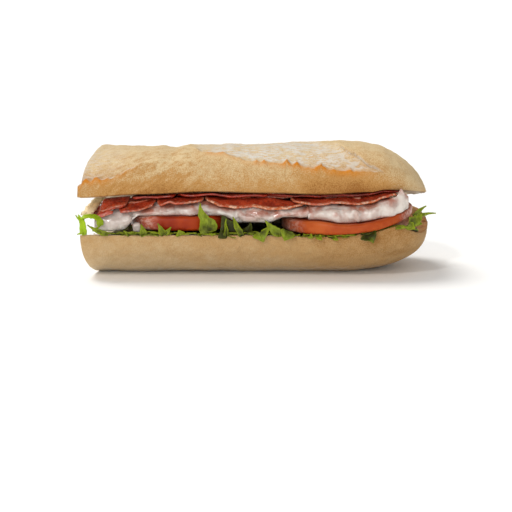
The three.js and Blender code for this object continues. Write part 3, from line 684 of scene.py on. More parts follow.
def bread_bottom(material):
    """The lower bread, open on top and closed by crumb at the cut end."""
    x = loaf_stations(BASE_CUT_X, BASE_TIP_X)[:, None]
    half = BASE_HALF_WIDTH * taper(x, BASE_PLAN_POWER, BASE_TIP_X)
    rings = base_rings(x)
    opened = np.zeros(rings.shape[:2])
    opened[:, 1:BASE_HALF_RING] = 1
    from_lip = smoothstep(half - np.abs(rings[..., 1]), 0, BASE_LIP_WIDTH)
    shift = np.where(opened > 0, -pores(rings) * from_lip, crust_lumps(rings))
    rings = rings + outward(rings) * shift[..., None]
    lift_lip(rings, x, half)
    along, _, height = np.moveaxis(rings, -1, 0)
    # Painted light low down, painted shade towards the tip, and the open top painted paler
    bake = through(BASE_PAINTED_LIGHT_BY_HEIGHT, height) + through(BASE_BAKE_AND_SHADE_ALONG, along) - BASE_TOP_PAINTED_LIGHT * opened
    crumb = opened * (1 - smoothstep(along, *BASE_CRUMB_FADES))
    dust = BASE_DUST["share"] * (1 - smoothstep(height, *BASE_DUST["z"])) * (1 - crumb)
    # A warm orange painted on the open top near the tip, to lift it out of the upper bread's shadow
    orange_tint = BASE_TIP_PAINTED_WARMTH["share"] * opened * smoothstep(along, *BASE_TIP_PAINTED_WARMTH["x"])
    masks = bread_masks(crumb.shape, crumb=crumb, bake=bake, flour=dust, ear=orange_tint, grain=BASE_GRAIN)
    cut_end = crumb_end(rings[0], rings[0][:BASE_HALF_RING:-1])
    shape = closed_loft(rings, *cut_end, rows_between(rings[-1], 0), **masks)
    add_piece("lower_bread", shape, material, "bread_bottom")


def tooth_at(x, at, half, high):
    return high * np.maximum(0, 1 - np.abs(x - at) / half) ** TOOTH_POWER


def score_marks(x, degrees):
    """Relief of the baked-open scores, with the places that are floury and those that are browned."""
    relief = np.zeros(np.broadcast_shapes(x.shape, degrees.shape))
    flour = relief.copy()
    ear = relief.copy()
    low = 1 - smoothstep(degrees, *EAR_FADE)
    for number, score in enumerate(SCORES):
        start = score["ear"][0][0]
        end = score["ear"][-1][0]
        fade = smoothstep(x, start, start + EAR_END) * (1 - smoothstep(x, end - EAR_END, end))
        teeth = sum(tooth_at(x, *tooth) for tooth in score["teeth"])
        teeth = teeth * (1 + 0.3 * waver(x, 0.9, 16 + number))
        uneven = waver(x, 6, 10 + number)
        uneven = uneven + 0.5 * waver(x, 1.9, 12 + number) + 0.5 * waver(x, 0.8, 14 + number)
        past = degrees - through(score["ear"], x) - TOOTH_RISE * teeth - EAR_RAGGED * uneven
        before = through(score["far"], x) - degrees
        lip = bell(past, 0, np.where(past < 0, *EAR_WIDTH))
        floor = fade * smoothstep(past, *SCORE_FLOOR) * smoothstep(before, 0, score["far_fade"])
        shallow = smoothstep(degrees, *SCORE_SHALLOW["degrees"])
        depth = through(score["depth"], x) * lerp(1, SCORE_SHALLOW["share"], shallow)
        groove = fade * through(score["groove"], x) * bell(before, GROOVE["at"], GROOVE["half"])
        crease = fade * low * through(score["crease"], x) * bell(past, CREASE["at"], CREASE["half"])
        raised = EAR_HEIGHT * fade * low * (EAR_LEAST + teeth) * lip
        relief += raised - depth * floor - GROOVE["depth"] * groove
        flour = np.maximum.reduce([flour, through(score["flour"], x) * floor, crease, groove])
        band = bell(past, EAR_BROWN["at"], np.where(past < EAR_BROWN["at"], *EAR_BROWN["widths"]))
        ear = np.maximum(ear, fade * band * np.clip(through(score["brown"], x) + teeth, 0, 1))
    return relief, flour, ear


def lid_section(x, degrees):
    """Shares of the half width and of the rise around the upper bread, from lip to lip over the top."""
    undercut = through(LID_UNDERCUT, x)
    angle = np.radians(lerp(-undercut, 180 + undercut, degrees / 180))
    bend = 2 / LID_ROUNDNESS
    across = np.sign(np.cos(angle)) * np.abs(np.cos(angle)) ** bend
    up = np.sign(np.sin(angle)) * np.abs(np.sin(angle)) ** bend
    lowest = -np.sin(np.radians(undercut)) ** bend
    return across, np.maximum((up - lowest) / (1 - lowest), 0)


def lid_degrees():
    """Degrees around the upper bread from its back lip, closest together on the side that is seen."""
    runs = [np.linspace(start, end, steps, endpoint=False) for start, end, steps in LID_RING]
    return np.concatenate([*runs, [0]])


def lid_rings(x, degrees, marks):
    """Rings of the upper bread from the cut end to the tip, over its scored top and back underneath."""
    half = LID_HALF_WIDTH * taper(x, LID_PLAN_POWER, LID_TIP_X)
    rise = (LID_RISE + through(LID_CREST, x)) * taper(x, LID_RISE_POWER, LID_TIP_X)
    across, up = lid_section(x, degrees)
    swell = 1 + marks / LID_RISE
    dome = lid_point(x, half * across * swell, rise * up * swell)
    y = lid_point(x, half * across[:, -1:] * underside_across(degrees), 0)[..., 1]
    return np.concatenate([dome, points_of(slanted(x, y), y, lid_height(x, y))], 1)


def underside_across(degrees):
    """Places across the upper bread's underside, from 1 at the front lip to -1 at the back."""
    return np.cos(np.radians(degrees[:, -2:0:-1]))


def bread_top(material):
    """The upper bread, crust over the top, crumb underneath and at the cut end."""
    x = loaf_stations(LID_CUT_X, LID_TIP_X)[:, None]
    degrees = lid_degrees()[None]
    from_lip = smoothstep(lid_section(x, degrees)[1], 0, SMOOTH_LIP)
    marks, floury, browned = (mark * from_lip for mark in score_marks(x, degrees))
    rings = lid_rings(x, degrees, marks)
    under = underside_across(degrees)
    hidden = np.zeros((len(x), under.size))
    # Along the front lip the underside is dark crust instead of crumb: partly its crust edge, partly painted
    # shade
    crumb = np.concatenate([0 * marks, hidden + 1 - smoothstep(under, *UNDERSIDE_CRUST_AND_SHADE)], 1)
    flour = np.concatenate([floury, hidden], 1)
    ear = np.concatenate([browned, hidden], 1)
    lip = np.concatenate([from_lip, hidden + smoothstep(1 - np.abs(under), 0, UNDERSIDE_LIP)], 1)
    crust = lerp(crust_lumps(rings), rough(rings, FLOURY_LUMPS, 7), flour)
    shift = np.where(crumb > 0, -pores(rings), crust) * lip
    rings = rings + outward(rings) * shift[..., None]
    along = rings[..., 0]
    # This colour level holds painted shade and a painted highlight as well as the crust's browning
    around = through(LID_BAKE_AND_SHADE, np.concatenate([degrees, 0 * under], 1))
    bake = (1 - crumb) * (LID_BAKE_LEAST + around * through(LID_BAKE_SHADE_AND_HIGHLIGHT_ALONG, along))
    streak = smoothstep(along, *STREAKED["from"]) * (1 - smoothstep(along, *STREAKED["to"]))
    masks = bread_masks(crumb.shape, crumb=crumb, bake=bake, flour=flour, ear=ear, streak=streak, grain=1)
    cut_end = crumb_end(rings[0], rings[0][1 : len(rings[0]) // 2])
    shape = closed_loft(rings, *cut_end, rows_between(rings[-1], 0), **masks)
    add_piece("upper_bread", shape, material, "bread_top")


def crumb_flap(material):
    """The torn tongue of crumb, rooted in the upper bread and hanging down to the open side."""
    t = np.linspace(0, 1, FLAP_GRID[0])[:, None]
    u = np.linspace(0, 1, FLAP_GRID[1])[None]
    y = lerp(FLAP["root_y"], FLAP["tip_y"] + 1.1 * waver(u * 18, 2.3, 20), t)
    start = slanted(LID_CUT_X, y) + GAP + 0.9 * waver(y, 2.6, 21) + 0.5
    x = lerp(start, lerp(FLAP["root_x"], FLAP["tip_x"], t), u)
    root = lid_height(x, FLAP["root_y"]) + FLAP["embed"]
    grid = points_of(x, y, lerp(root, FLAP["tip_z"], t))
    grid[..., 2] += rough(grid, FLAP_LUMPS, 22)
    grid = grid[::-1]
    shape = sheet(grid, FLAP["thick"], **bread_masks(grid.shape[:2], crumb=0.2, bake=0.35 * u))
    add_piece("crumb_flap", shape, material, "bread_top")


def fullness(dx, dy):
    """Distance from a slice's centre, counted so that its full outline lies at 1."""
    return (np.abs(dx) ** TOMATO_POWER + np.abs(dy) ** TOMATO_POWER) ** (1 / TOMATO_POWER)


def tomato_floor(tomato, x, y):
    bent = np.maximum(0, (x - tomato["curl_x"]) / CURL_REACH)
    return tomato["z"] - tomato["tilt"] * (y + BASE_HALF_WIDTH) + tomato["curl"] * bent * bent


def tomato_slice(name, tomato, material):
    """A slice in rings, from the middle of its lower face round its skin to that of its upper face."""
    flat = np.linspace(TOMATO_HUB, 1 - TOMATO_RIM, TOMATO_ROWS)
    level = (1 - np.cos(np.linspace(0, math.pi, TOMATO_EDGE_ROWS))) / 2
    rim = 1 - TOMATO_RIM * np.abs(2 * level - 1) ** TOMATO_EDGE
    reach = np.concatenate([flat[:-1], rim, flat[-2::-1]])[:, None]
    height = np.concatenate([0 * flat[:-1], level, 0 * flat[:-1] + 1])[:, None]
    angle = np.linspace(0, 2 * math.pi, TOMATO_RING, endpoint=False)[None]
    c = np.cos(angle)
    s = np.sin(angle)
    fuller = 1 / fullness(c, s)
    x = tomato["x"] + tomato["half_x"] * reach * c * fuller
    y = tomato["y"] + tomato["half_y"] * reach * s * fuller
    rings = points_of(x, y, tomato_floor(tomato, x, y) + height * through(tomato["thick"], x))
    flesh = (1 - smoothstep(reach, *TOMATO_FLESH)) + 0 * x
    dimples = np.abs(rough(rings, TOMATO_DIMPLES, 32) * flesh)
    rings = rings + outward(rings) * (rough(rings, TOMATO_LUMPS, 30) - dimples)[..., None]
    # Pale ends: partly the clear pulp, partly a painted wet highlight
    pale = sum(smoothstep(side * rings[..., 0], *span) for side, *span in tomato["pale"])
    ends = [rows_between(ring, 0) for ring in (rings[0], rings[-1])]
    shape = closed_loft(rings, ends[0], {}, ends[1], flesh=flesh, pale=pale)
    add_piece(name + "_slice", shape, material, name)


def hung_height(backs, rims, x, y):
    """Height of something hung under the upper bread that falls away towards the open side."""
    droop = np.clip((-y - DROOP_REACH[0]) / (DROOP_REACH[1] - DROOP_REACH[0]), 0, 1.1) ** DROOP_POWER
    hang = lerp(through(backs, x), through(rims, x), droop)
    wave = RIPPLE["height"] * np.sin(2 * math.pi * (x + RIPPLE["slant"] * y) / RIPPLE["length"])
    crinkle = droop * (0.5 * waver(x, 9, 40) + 0.22 * waver(x + 0.4 * y, 4, 41))
    return lid_height(x, y) - hang + (wave + crinkle) * smoothstep(hang, 0.5, 1.6)


def salami_slice(name, cut, number, material):
    start = cut["rim"][0][0]
    end = cut["rim"][-1][0]
    front, back = cut["y"]
    u = np.linspace(0, 1, round((end - start) / SLICE_STEP) + 1)[None]
    t = np.linspace(0, 1, SLICE_ROWS + 1)[:, None] ** 1.8
    edge = np.abs(2 * u - 1)
    rounding = SLICE_ROUND * (1 - np.sqrt(1 - SLICE_BLUNT * edge**SLICE_CORNER))
    along = lerp(start, end, u)
    ragged = 0.5 * waver(along, 6, 42 + number) + 0.2 * waver(along, 1.7, 50 + number)
    y = lerp(front + rounding + ragged, back - rounding, t)
    x = slanted(along, y)
    grid = points_of(x, y, hung_height(cut["back"], cut["rim"], x, y))
    inside = np.minimum(t * (back - front), (1 - edge) * (end - start) / 2)
    folds = 0.6 * noise(grid * (0.4, 0.6, 0.3), 3, 58) + 0.14 * noise(grid, 1.6, 59)
    grid[..., 2] += folds * smoothstep(-y, 22, 27)
    # The pale rim: partly the slice's lighter edge, partly a painted highlight
    shape = sheet(grid, SLICE, rim=cut["pale"] * (1 - smoothstep(inside, 0.3, 1.2)))
    add_piece(name + "_slice", shape, material, name)


def salami_fold(name, number, path, material):
    """A fold along a path of (x, z) on the face of a slice, with its lower edge standing off."""
    cut = SLICES[name]
    t = np.linspace(0, 1, FOLD_GRID[0])
    x, z = curve_through(path, t).T
    s = np.linspace(0, 1, FOLD_GRID[1])[:, None]
    high = FOLD["high"] * np.sin(math.pi * (0.04 + 0.92 * t)) ** 0.5 * (1 + 0.3 * waver(x, 4, 46 + number))
    z = z + wavy(x, FOLD_WAVES, 47 + number) + high * s
    depths = np.linspace(cut["y"][0], cut["y"][0] + 8, 60)
    y = np.empty_like(z)
    for column, at in enumerate(x):
        heights = np.maximum.accumulate(hung_height(cut["back"], cut["rim"], at, depths))
        y[:, column] = np.interp(z[:, column], heights, depths)
    grid = points_of(x[None], y - FOLD["out"] * (1 - s**1.5) - 0.2, z)
    # A painted highlight along the fold's lower edge
    shape = sheet(grid, FOLD["thick"], rim=0.5 * (1 - smoothstep(s * high, 0.1, 0.6)))
    add_piece(f"{name}_fold_{number}", shape, material, name)


def cheese_levels(piece, tomato, x, y):
    """Lowest and highest level of the cheese at a place, between the tomato and the salami."""
    on_slice = tomato_floor(tomato, x, y) + through(tomato["thick"], x) + CHEESE_GAP
    out = fullness((x - tomato["x"]) / tomato["half_x"], (y - tomato["y"]) / tomato["half_y"])
    beside = 1 - smoothstep(out, *CHEESE_CLEAR)
    floor = on_slice if piece["low"] is None else lerp(through(piece["low"], x), on_slice, beside)
    lid = hung_height(UNDER_BACK, UNDER_RIMS, x, y) - SLICE / 2 - GAP
    limit = through(piece["high"], x) - humps(x, piece["dents"])
    return floor, lerp(np.minimum(lid, limit), limit, smoothstep(x, *CHEESE_OPEN_X))


def cheese_rings(piece, x, y, t, floor, top):
    """Rings of a piece of cheese, rounded at front and back and blunt at both ends."""
    from_end = np.minimum((x - piece["from"]) / piece["ends"][0], (piece["to"] - x) / piece["ends"][1])
    swell = np.sqrt(np.maximum(CHEESE_BLUNT, 1 - (1 - np.minimum(1, from_end)) ** 2))
    middle = (floor + top) / 2
    half = np.maximum(top - floor, CHEESE_LEAST) / 2 * swell
    nose = {side: np.sqrt(1 - np.abs(2 * t - 1) ** power) for side, power in CHEESE_ROUNDNESS.items()}
    upper = points_of(x, y, middle + half * nose["upper"])
    lower = points_of(x, y, middle - half * nose["lower"])[:, -2:0:-1]
    return np.concatenate([upper, lower], 1)


def curds(points, seen, seed):
    """Height of round lumps scattered over the part of a surface that is seen."""
    dice = np.random.default_rng(seed)
    places = points[seen]
    height = np.zeros(points.shape[:-1])
    for place in places[dice.choice(len(places), CURDS["count"])]:
        size = dice.uniform(*CURDS["size"])
        away = np.linalg.norm(points - place, axis=-1) / size
        height = np.maximum(height, CURDS["height"] * size * np.sqrt(np.maximum(0, 1 - away**2)))
    return height


def cheese_piece(name, piece, tomato, seed, material):
    """A length of cheese between tomato and salami, lumpy and creased where it shows."""
    steps = round((piece["to"] - piece["from"]) / CHEESE_STEP)
    x = np.linspace(piece["from"], piece["to"], steps + 1)[:, None]
    t = (1 - np.cos(np.linspace(0, math.pi, CHEESE_HALF_RING + 1)))[None] / 2
    y = lerp(through(piece["back"], x), through(piece["front"], x), t)
    floor, top = cheese_levels(piece, tomato, x, y)
    rings = cheese_rings(piece, x, y, t, floor, top)
    normal = outward(rings)
    facing = smoothstep(-normal[..., 1], 0.1, 0.9) * smoothstep(-rings[..., 1], 20, 27)
    folds = rings * (1, 1, 0.55)
    skewed = x + 0.3 * (rings[..., 2] - 26) + 0.8 * noise(rings, 4, seed + 3)
    rolling = rough(folds, CHEESE_ROLLS, seed) + rough(rings, CHEESE_GRAINS, seed + 2)
    calm = lerp(0.5, 1, smoothstep(x, *CHEESE_CALM_X))
    lumps = calm * (curds(rings, facing > 0.6, seed) + rolling - 0.7) - humps(skewed, piece["creases"])
    rings = rings + normal * (lumps * facing)[..., None]
    share = (rings[..., 2] - floor[:, -1:]) / np.maximum(top - floor, CHEESE_LEAST)[:, -1:]
    # Painted reflection of the salami on the upper part of the cheese, none over the lump at the left, with
    # the pink patches below
    painted_salami_reflection = smoothstep(share, 0.5, 1.1) * smoothstep(x, *CHEESE_REFLECTION_X)
    stain = np.clip(painted_salami_reflection + humps(x, piece["stains"]) * smoothstep(share, 0, 0.6), 0, 1)
    ends = [rows_between(ring, CHEESE_END_ROWS) for ring in (rings[0], rings[-1])]
    shape = closed_loft(rings, ends[0], {}, ends[1], stain=stain)
    add_piece(name + "_piece", shape, material, name)


def rounded(value):
    return np.sign(value) * np.abs(value) ** LUMP["roundness"]


def cheese_lump(material):
    """A small lump beside the left tomato slice."""
    up = np.linspace(-math.pi / 2, math.pi / 2, LUMP_GRID[0])[:, None]
    around = np.linspace(0, 2 * math.pi, LUMP_GRID[1], endpoint=False)[None]
    x = rounded(np.cos(up)) * rounded(np.cos(around))
    y = rounded(np.cos(up)) * rounded(np.sin(around))
    rings = np.array(LUMP["centre"]) + np.array(LUMP["half"]) * points_of(x, y, rounded(np.sin(up)))
    rings = rings + 0.3 * noise(rings, 2.2, 66)[..., None] * (0.4, 1, 0.4)
    shape = Shape(rings, loft_faces(*rings.shape[:2]), stain=np.zeros(rings.shape[:2]))
    add_piece("cheese_left_lump", shape, material, "cheese_left")


def leaf_bed(start, end, seed):
    """The part of a leaf that lies on the bread, out to its frilly margin at the lip."""
    x = np.linspace(start, end, round((end - start) / LEAF_STEP) + 1)[None]
    bed = np.linspace(0, 1, LEAF_BED_ROWS, endpoint=False)
    margin = np.linspace(0, 1, LEAF_MARGIN_ROWS)
    on_bread = np.concatenate([bed, 0 * margin + 1])[:, None]
    s = np.concatenate([0 * bed, margin])[:, None]
    reach = FRILL["least"] + FRILL["reach"] * np.abs(waver(x, 3.1, seed))
    reach += 0.5 * np.abs(waver(x, 1.2, seed + 1))
    angle = np.radians(FRILL["angle"][0] + FRILL["angle"][1] * waver(x, 5, seed + 2))
    lip = -BASE_HALF_WIDTH * taper(x, BASE_PLAN_POWER, BASE_TIP_X)
    turn = LEAF_TURN["angle"] * smoothstep(x, *LEAF_TURN["x"])
    back = lerp(LEAF_BACK_Y, lip + LEAF_NARROWS["from_lip"], smoothstep(x, *LEAF_NARROWS["x"]))
    y = lerp(back, lip + through(LEAF_RETREAT, x), on_bread)
    ruffle = s * wavy(x, RUFFLES, seed + 3)
    out = (s > 0) * FRILL["clear"] + reach * s * np.cos(angle) - ruffle * np.sin(angle)
    up = reach * s * np.sin(angle) + ruffle * np.cos(angle)
    z = cut_height(x, y) + GAP + LEAF / 2 + np.where(s > 0, up, 0)
    grid = points_of(slanted(x, y) + out * np.sin(turn), y - out * np.cos(turn), z)
    return sheet(grid[::-1], LEAF, edge=(s + 0 * x)[::-1], shade=(0.8 * (1 - s) + 0 * x)[::-1])


def leaflet(seed, base, tip, half, roundness, shade=0):
    """A blade from its base to its tip, cupped, with a ruffled and toothed edge."""
    base = np.array(base, float)
    axis = np.array(tip, float) - base
    length = np.linalg.norm(axis)
    side = np.cross(axis, LEAFLET_FACING)
    side /= np.linalg.norm(side)
    normal = np.cross(side, axis) / length
    s = np.linspace(0, 1, max(10, round(length / LEAF_STEP)))[:, None]
    w = np.linspace(-1, 1, max(9, round(2 * half / LEAF_STEP)))[None]
    along = s * length + 40 * np.sign(w)
    teeth = 0.85 + 0.5 * np.abs(waver(along, 3.4, seed)) + 0.18 * waver(along, 1.1, seed + 3)
    wide = half * np.maximum(1 - s**roundness, 0.02) * smoothstep(s, -0.3, 0.3) * teeth
    ruffled = 0.45 * half**0.5 * waver(along, 2.6, seed + 1) * np.abs(w) ** 1.5
    cup = 0.3 * half**0.5 * (w * w - 0.4) * (1 - s) + 0.06 * length * np.sin(math.pi * s)
    rib = RIB["height"] * bell(w, 0, RIB["half"])
    bent = 0.12 * length * waver(s * 1.7, 1, seed + 2) * s
    grid = base + axis * s[..., None] + side * (w * wide + bent)[..., None]
    grid = grid + normal * (ruffled + cup - rib)[..., None]
    edge = np.maximum(np.abs(w), 0.3 + 0.6 * s)
    return sheet(grid, LEAF, edge=edge, shade=np.clip(shade + 0.6 * (1 - s) ** 2 + 0 * w, -1, 1.2))


def strands(start, end, seed):
    """Torn bits of the leaf's margin along the lip."""
    dice = np.random.default_rng(seed)
    shapes = []
    for x in np.arange(start + 1, end - 1, STRANDS["every"]):
        x = x + dice.uniform(-1, 1)
        lip = -BASE_HALF_WIDTH * taper(x, BASE_PLAN_POWER, BASE_TIP_X)
        length = dice.uniform(*STRANDS["length"]) * dice.choice([-1, 1])
        rise = abs(length) * dice.uniform(*STRANDS["slope"])
        height = cut_height(x, lip) + GAP + LEAF + dice.uniform(*STRANDS["up"])
        base = np.array([slanted(x, lip), lip - GAP, height])
        tip = base + (length, -dice.uniform(*STRANDS["out"]), rise)
        half = dice.uniform(*STRANDS["half"])
        shapes.append(leaflet(seed + len(shapes), base, tip, half, 1.6, dice.uniform(0, 0.6)))
    return shapes


def joined(shapes):
    """Several shapes as one."""
    points = np.concatenate([shape.points for shape in shapes])
    first = np.cumsum([0] + [len(shape.points) for shape in shapes])
    faces = [[at + index for index in face] for at, shape in zip(first, shapes) for face in shape.faces]
    masks = {name: np.concatenate([shape.masks[name] for shape in shapes]) for name in shapes[0].masks}
    return Shape(points, faces, **masks)


def lettuce_leaf(name, start, end, leaflets, seed, material):
    blades = [leaflet(seed + 10 * number, *sizes) for number, sizes in enumerate(leaflets)]
    shape = joined([leaf_bed(start, end, seed), *strands(start, min(end, STRANDS_END), seed), *blades])
    add_piece(name + "_leaf", shape, material, name)


def curve_through(points, t):
    """Catmull-Rom curve through a list of points."""
    points = np.array(points, float)
    ends = np.concatenate([[2 * points[0] - points[1]], points, [2 * points[-1] - points[-2]]])
    at = t * (len(points) - 1)
    k = np.minimum(at.astype(int), len(points) - 2)
    u = (at - k)[:, None]
    p0, p1, p2, p3 = ends[k], ends[k + 1], ends[k + 2], ends[k + 3]
    bend = (2 * p0 - 5 * p1 + 4 * p2 - p3) * u**2 + (3 * p1 - p0 - 3 * p2 + p3) * u**3
    return p1 + ((p2 - p0) * u + bend) / 2


def lettuce_arch(material):
    """A ruffled ribbon that arches out over the cut end, with its leaflets."""
    t = np.linspace(0, 1, ARCH_GRID[1])
    side = np.linspace(1, -1, ARCH_GRID[0])[:, None, None]
    ragged = 1 + 0.35 * waver(40 * t, 2.2, 70)[None, :, None] * np.sign(side)
    grid = curve_through(ARCH_PATH, t)[None] + curve_through(ARCH_ACROSS, t)[None] * side * ragged
    grid[..., 1] += 0.35 * noise(grid, 2.5, 71) * np.abs(side[..., 0])
    edge = np.abs(side[..., 0]) + 0 * t[None]
    ribbon = sheet(grid, LEAF, edge=edge, shade=0.5 * t[None] - 0.7 + 0 * edge)
    blades = [leaflet(130 + 10 * number, *sizes) for number, sizes in enumerate(ARCH_LEAFLETS)]
    add_piece("lettuce_arch_leaf", joined([ribbon, *blades]), material, "lettuce_arch")


def linear(colour):
    """Scene-linear colour, with alpha, of an sRGB colour given as 0 to 255."""
    c = np.array(colour) / 255
    return (*np.where(c <= 0.04045, c / 12.92, ((c + 0.055) / 1.055) ** 2.4), 1)


class Finish:
    """A material's node tree, with the few kinds of node that the finishes here are made of."""

    def __init__(self, name, **settings):
        self.material = bpy.data.materials.new(name)
        self.material.use_nodes = True
        self.tree = self.material.node_tree
        self.shader = self.tree.nodes["Principled BSDF"]
        for socket, value in settings.items():
            self.shader.inputs[socket.replace("_", " ").title().replace("Ior", "IOR")].default_value = value
        self.place = self.tree.nodes.new("ShaderNodeTexCoord").outputs["Object"]

    def node(self, kind, **inputs):
        made = self.tree.nodes.new(kind)
        for socket, value in inputs.items():
            self.put(made.inputs[socket.replace("_", " ")], value)
        return made

    def put(self, socket, value):
        if isinstance(value, bpy.types.NodeSocket):
            self.tree.links.new(value, socket)
        else:
            socket.default_value = value

    def stretch(self, x, y, z):
        return self.node("ShaderNodeMapping", Vector=self.place, Scale=(x, y, z)).outputs["Vector"]

    def slanting(self, degrees, length):
        """Coordinates drawn out along a line that rises by some degrees across the loaf's side."""
        made = self.node("ShaderNodeMapping", Vector=self.place, Scale=(length, 1, 1))
        made.vector_type = "TEXTURE"
        made.inputs["Rotation"].default_value = (0, -math.radians(degrees), 0)
        return made.outputs["Vector"]

    def noise(self, size, detail=3, place=None):
        """Noise with lumps of a size in millimetres."""
        scale = 1 / (size * MM)
        made = self.node("ShaderNodeTexNoise", Vector=place or self.place, Scale=scale, Detail=detail)
        return made.outputs["Fac"]

    def cells(self, size):
        """Distance from the middle of cells of a size in millimetres."""
        made = self.node("ShaderNodeTexVoronoi", Vector=self.place, Scale=1 / (size * MM))
        return made.outputs["Distance"]

    def span(self, value, low, high, to_low=0.0, to_high=1.0):
        """A value eased from one range into another."""
        ends = {"From_Min": low, "From_Max": high, "To_Min": to_low, "To_Max": to_high}
        made = self.node("ShaderNodeMapRange", Value=value, **ends)
        made.interpolation_type = "SMOOTHSTEP"
        return made.outputs["Result"]

    def patchy(self, size, detail, *ends):
        """Noise eased into a range."""
        return self.span(self.noise(size, detail), *ends)

    def combine(self, operation, a, b):
        made = self.tree.nodes.new("ShaderNodeMath")
        made.operation = operation
        self.put(made.inputs[0], a)
        self.put(made.inputs[1], b)
        return made.outputs[0]

    def times(self, a, b):
        return self.combine("MULTIPLY", a, b)

    def plus(self, a, b):
        return self.combine("ADD", a, b)

    def mask(self, name):
        made = self.tree.nodes.new("ShaderNodeAttribute")
        made.attribute_name = name
        return made.outputs["Fac"]

    def mix(self, share, first, second):
        made = self.tree.nodes.new("ShaderNodeMix")
        made.data_type = "RGBA"
        self.put(made.inputs[0], share)
        for socket, colour in ((made.inputs[6], first), (made.inputs[7], second)):
            self.put(socket, colour if isinstance(colour, bpy.types.NodeSocket) else linear(colour))
        return made.outputs[2]

    def finish(self, colour, roughness, height, bump):
        """Links what the shader shows, with bumps of a depth in millimetres, and returns the material."""
        self.put(self.shader.inputs["Base Color"], colour)
        self.put(self.shader.inputs["Roughness"], roughness)
        made = self.node("ShaderNodeBump", Height=height, Distance=bump * MM, Strength=1)
        self.put(self.shader.inputs["Normal"], made.outputs["Normal"])
        return self.material


def bread_finish(name, light, tanned, dark):
    look = Finish(name, specular_ior_level=0.2)
    blotch = look.noise(6, 3)
    mottle = look.noise(1.8, 4)
    grain = look.noise(0.42, 2)
    drawn = look.noise(1.6, 4, look.slanting(38, 5))
    streak = look.times(look.mask("streak"), look.span(drawn, 0.32, 0.68, -0.24, 0.22))
    patches = look.plus(look.span(blotch, 0.3, 0.7, -0.1, 0.1), look.span(mottle, 0.3, 0.7, -0.07, 0.07))
    speckle = look.times(look.mask("grain"), look.span(grain, 0.3, 0.7, -0.24, 0.24))
    # The colour level from the mask holds painted shade and light as well as the crust's browning
    level = look.plus(look.mask("bake"), look.plus(look.plus(patches, streak), speckle))
    golden = look.mix(look.span(level, -0.1, 0.95), light, tanned)
    crust = look.mix(look.span(level, 0.85, 1.6), golden, dark)
    singed = look.times(look.mask("ear"), look.span(mottle, 0.3, 0.6, 0.75, 1))
    browned = look.mix(singed, crust, (204, 122, 8))
    drifts = look.noise(0.9, 4, look.slanting(-9, 3.5))
    dust = look.span(look.plus(drifts, look.span(blotch, 0.3, 0.7, -0.08, 0.08)), 0.4, 0.6, 0.2, 1)
    floured = look.mix(look.times(look.mask("flour"), dust), browned, (212, 205, 193))
    spots = look.noise(0.9, 3, look.slanting(-9, 2))
    orange_tint = look.times(look.mask("flour"), look.span(spots, 0.57, 0.7, 0, 0.55))
    freckled = look.mix(orange_tint, floured, (206, 150, 76))
    crumb = look.mix(look.span(blotch, 0.3, 0.7), (244, 236, 218), (232, 216, 188))
    colour = look.mix(look.mask("crumb"), freckled, crumb)
    roughness = look.span(blotch, 0.2, 0.8, 0.65, 0.85)
    height = look.plus(grain, look.times(look.noise(0.3, 3), 0.6))
    return look.finish(colour, roughness, height, 0.3)


def salami_finish(name, light, dark):
    soft = {"subsurface_weight": 0.1, "subsurface_scale": 0.001, "subsurface_radius": (1.0, 0.3, 0.2)}
    look = Finish(name, **soft, specular_ior_level=0.5)
    tone = look.plus(look.noise(4, 4), look.patchy(1.2, 3, 0.3, 0.7, -0.1, 0.1))
    meat = look.mix(look.span(tone, 0.28, 0.72), light, dark)
    fleck = look.span(look.cells(1.9), 0.08, 0.24, 1, 0)
    fat = look.times(fleck, look.patchy(6, 2, 0.4, 0.7, 0, 0.7))
    marbled = look.mix(fat, meat, (206, 140, 112))
    # Rim colour: partly the slice's lighter edge, partly a painted highlight with bright specks
    rim = look.mix(look.patchy(0.9, 3, 0.42, 0.6), (200, 100, 44), (232, 190, 160))
    edge = look.times(look.mask("rim"), look.patchy(4, 3, 0.35, 0.6, 0.25, 0.9))
    colour = look.mix(edge, marbled, rim)
    return look.finish(colour, look.patchy(2, 3, 0.3, 0.7, 0.2, 0.42), look.noise(1.3, 2), 0.1)


def cheese_finish():
    soft = {"subsurface_weight": 0.3, "subsurface_scale": 0.002, "subsurface_radius": (1.0, 0.85, 0.75)}
    look = Finish("cheese", **soft, coat_weight=1.0, coat_roughness=0.1)
    curd = look.mix(look.patchy(5, 4, 0.35, 0.65), (218, 209, 200), (186, 170, 160))
    # Pink-brown: the salami's stains on the cheese, with its painted reflection and painted shade
    stain = look.times(look.mask("stain"), look.patchy(5, 3, 0.34, 0.58, 0.1, 0.95))
    colour = look.mix(stain, curd, (170, 104, 82))
    return look.finish(colour, look.patchy(2.5, 3, 0.3, 0.7, 0.16, 0.32), look.noise(1.1, 3), 0.2)


def tomato_finish(name, light, dark):
    soft = {"subsurface_weight": 0.1, "subsurface_scale": 0.002, "subsurface_radius": (1.0, 0.35, 0.15)}
    look = Finish(name, **soft, specular_ior_level=0.15)
    skin = look.mix(look.patchy(7, 4, 0.35, 0.65), light, dark)
    pulp = look.mix(look.span(look.cells(3.4), 0.15, 0.5), (214, 124, 86), (196, 84, 50))
    fibre = look.span(look.noise(0.9, 3, look.stretch(0.16, 1, 1)), 0.42, 0.62)
    clear = look.mix(fibre, (188, 106, 82), (216, 172, 156))
    # The pale ends mix clear pulp with fibres and a painted wet highlight
    skin = look.mix(look.times(look.mask("pale"), look.patchy(4, 3, 0.3, 0.6, 0.4, 1)), skin, clear)
    colour = look.mix(look.mask("flesh"), skin, pulp)
    return look.finish(colour, look.patchy(3, 3, 0.3, 0.7, 0.28, 0.42), look.noise(0.8, 4), 0.06)


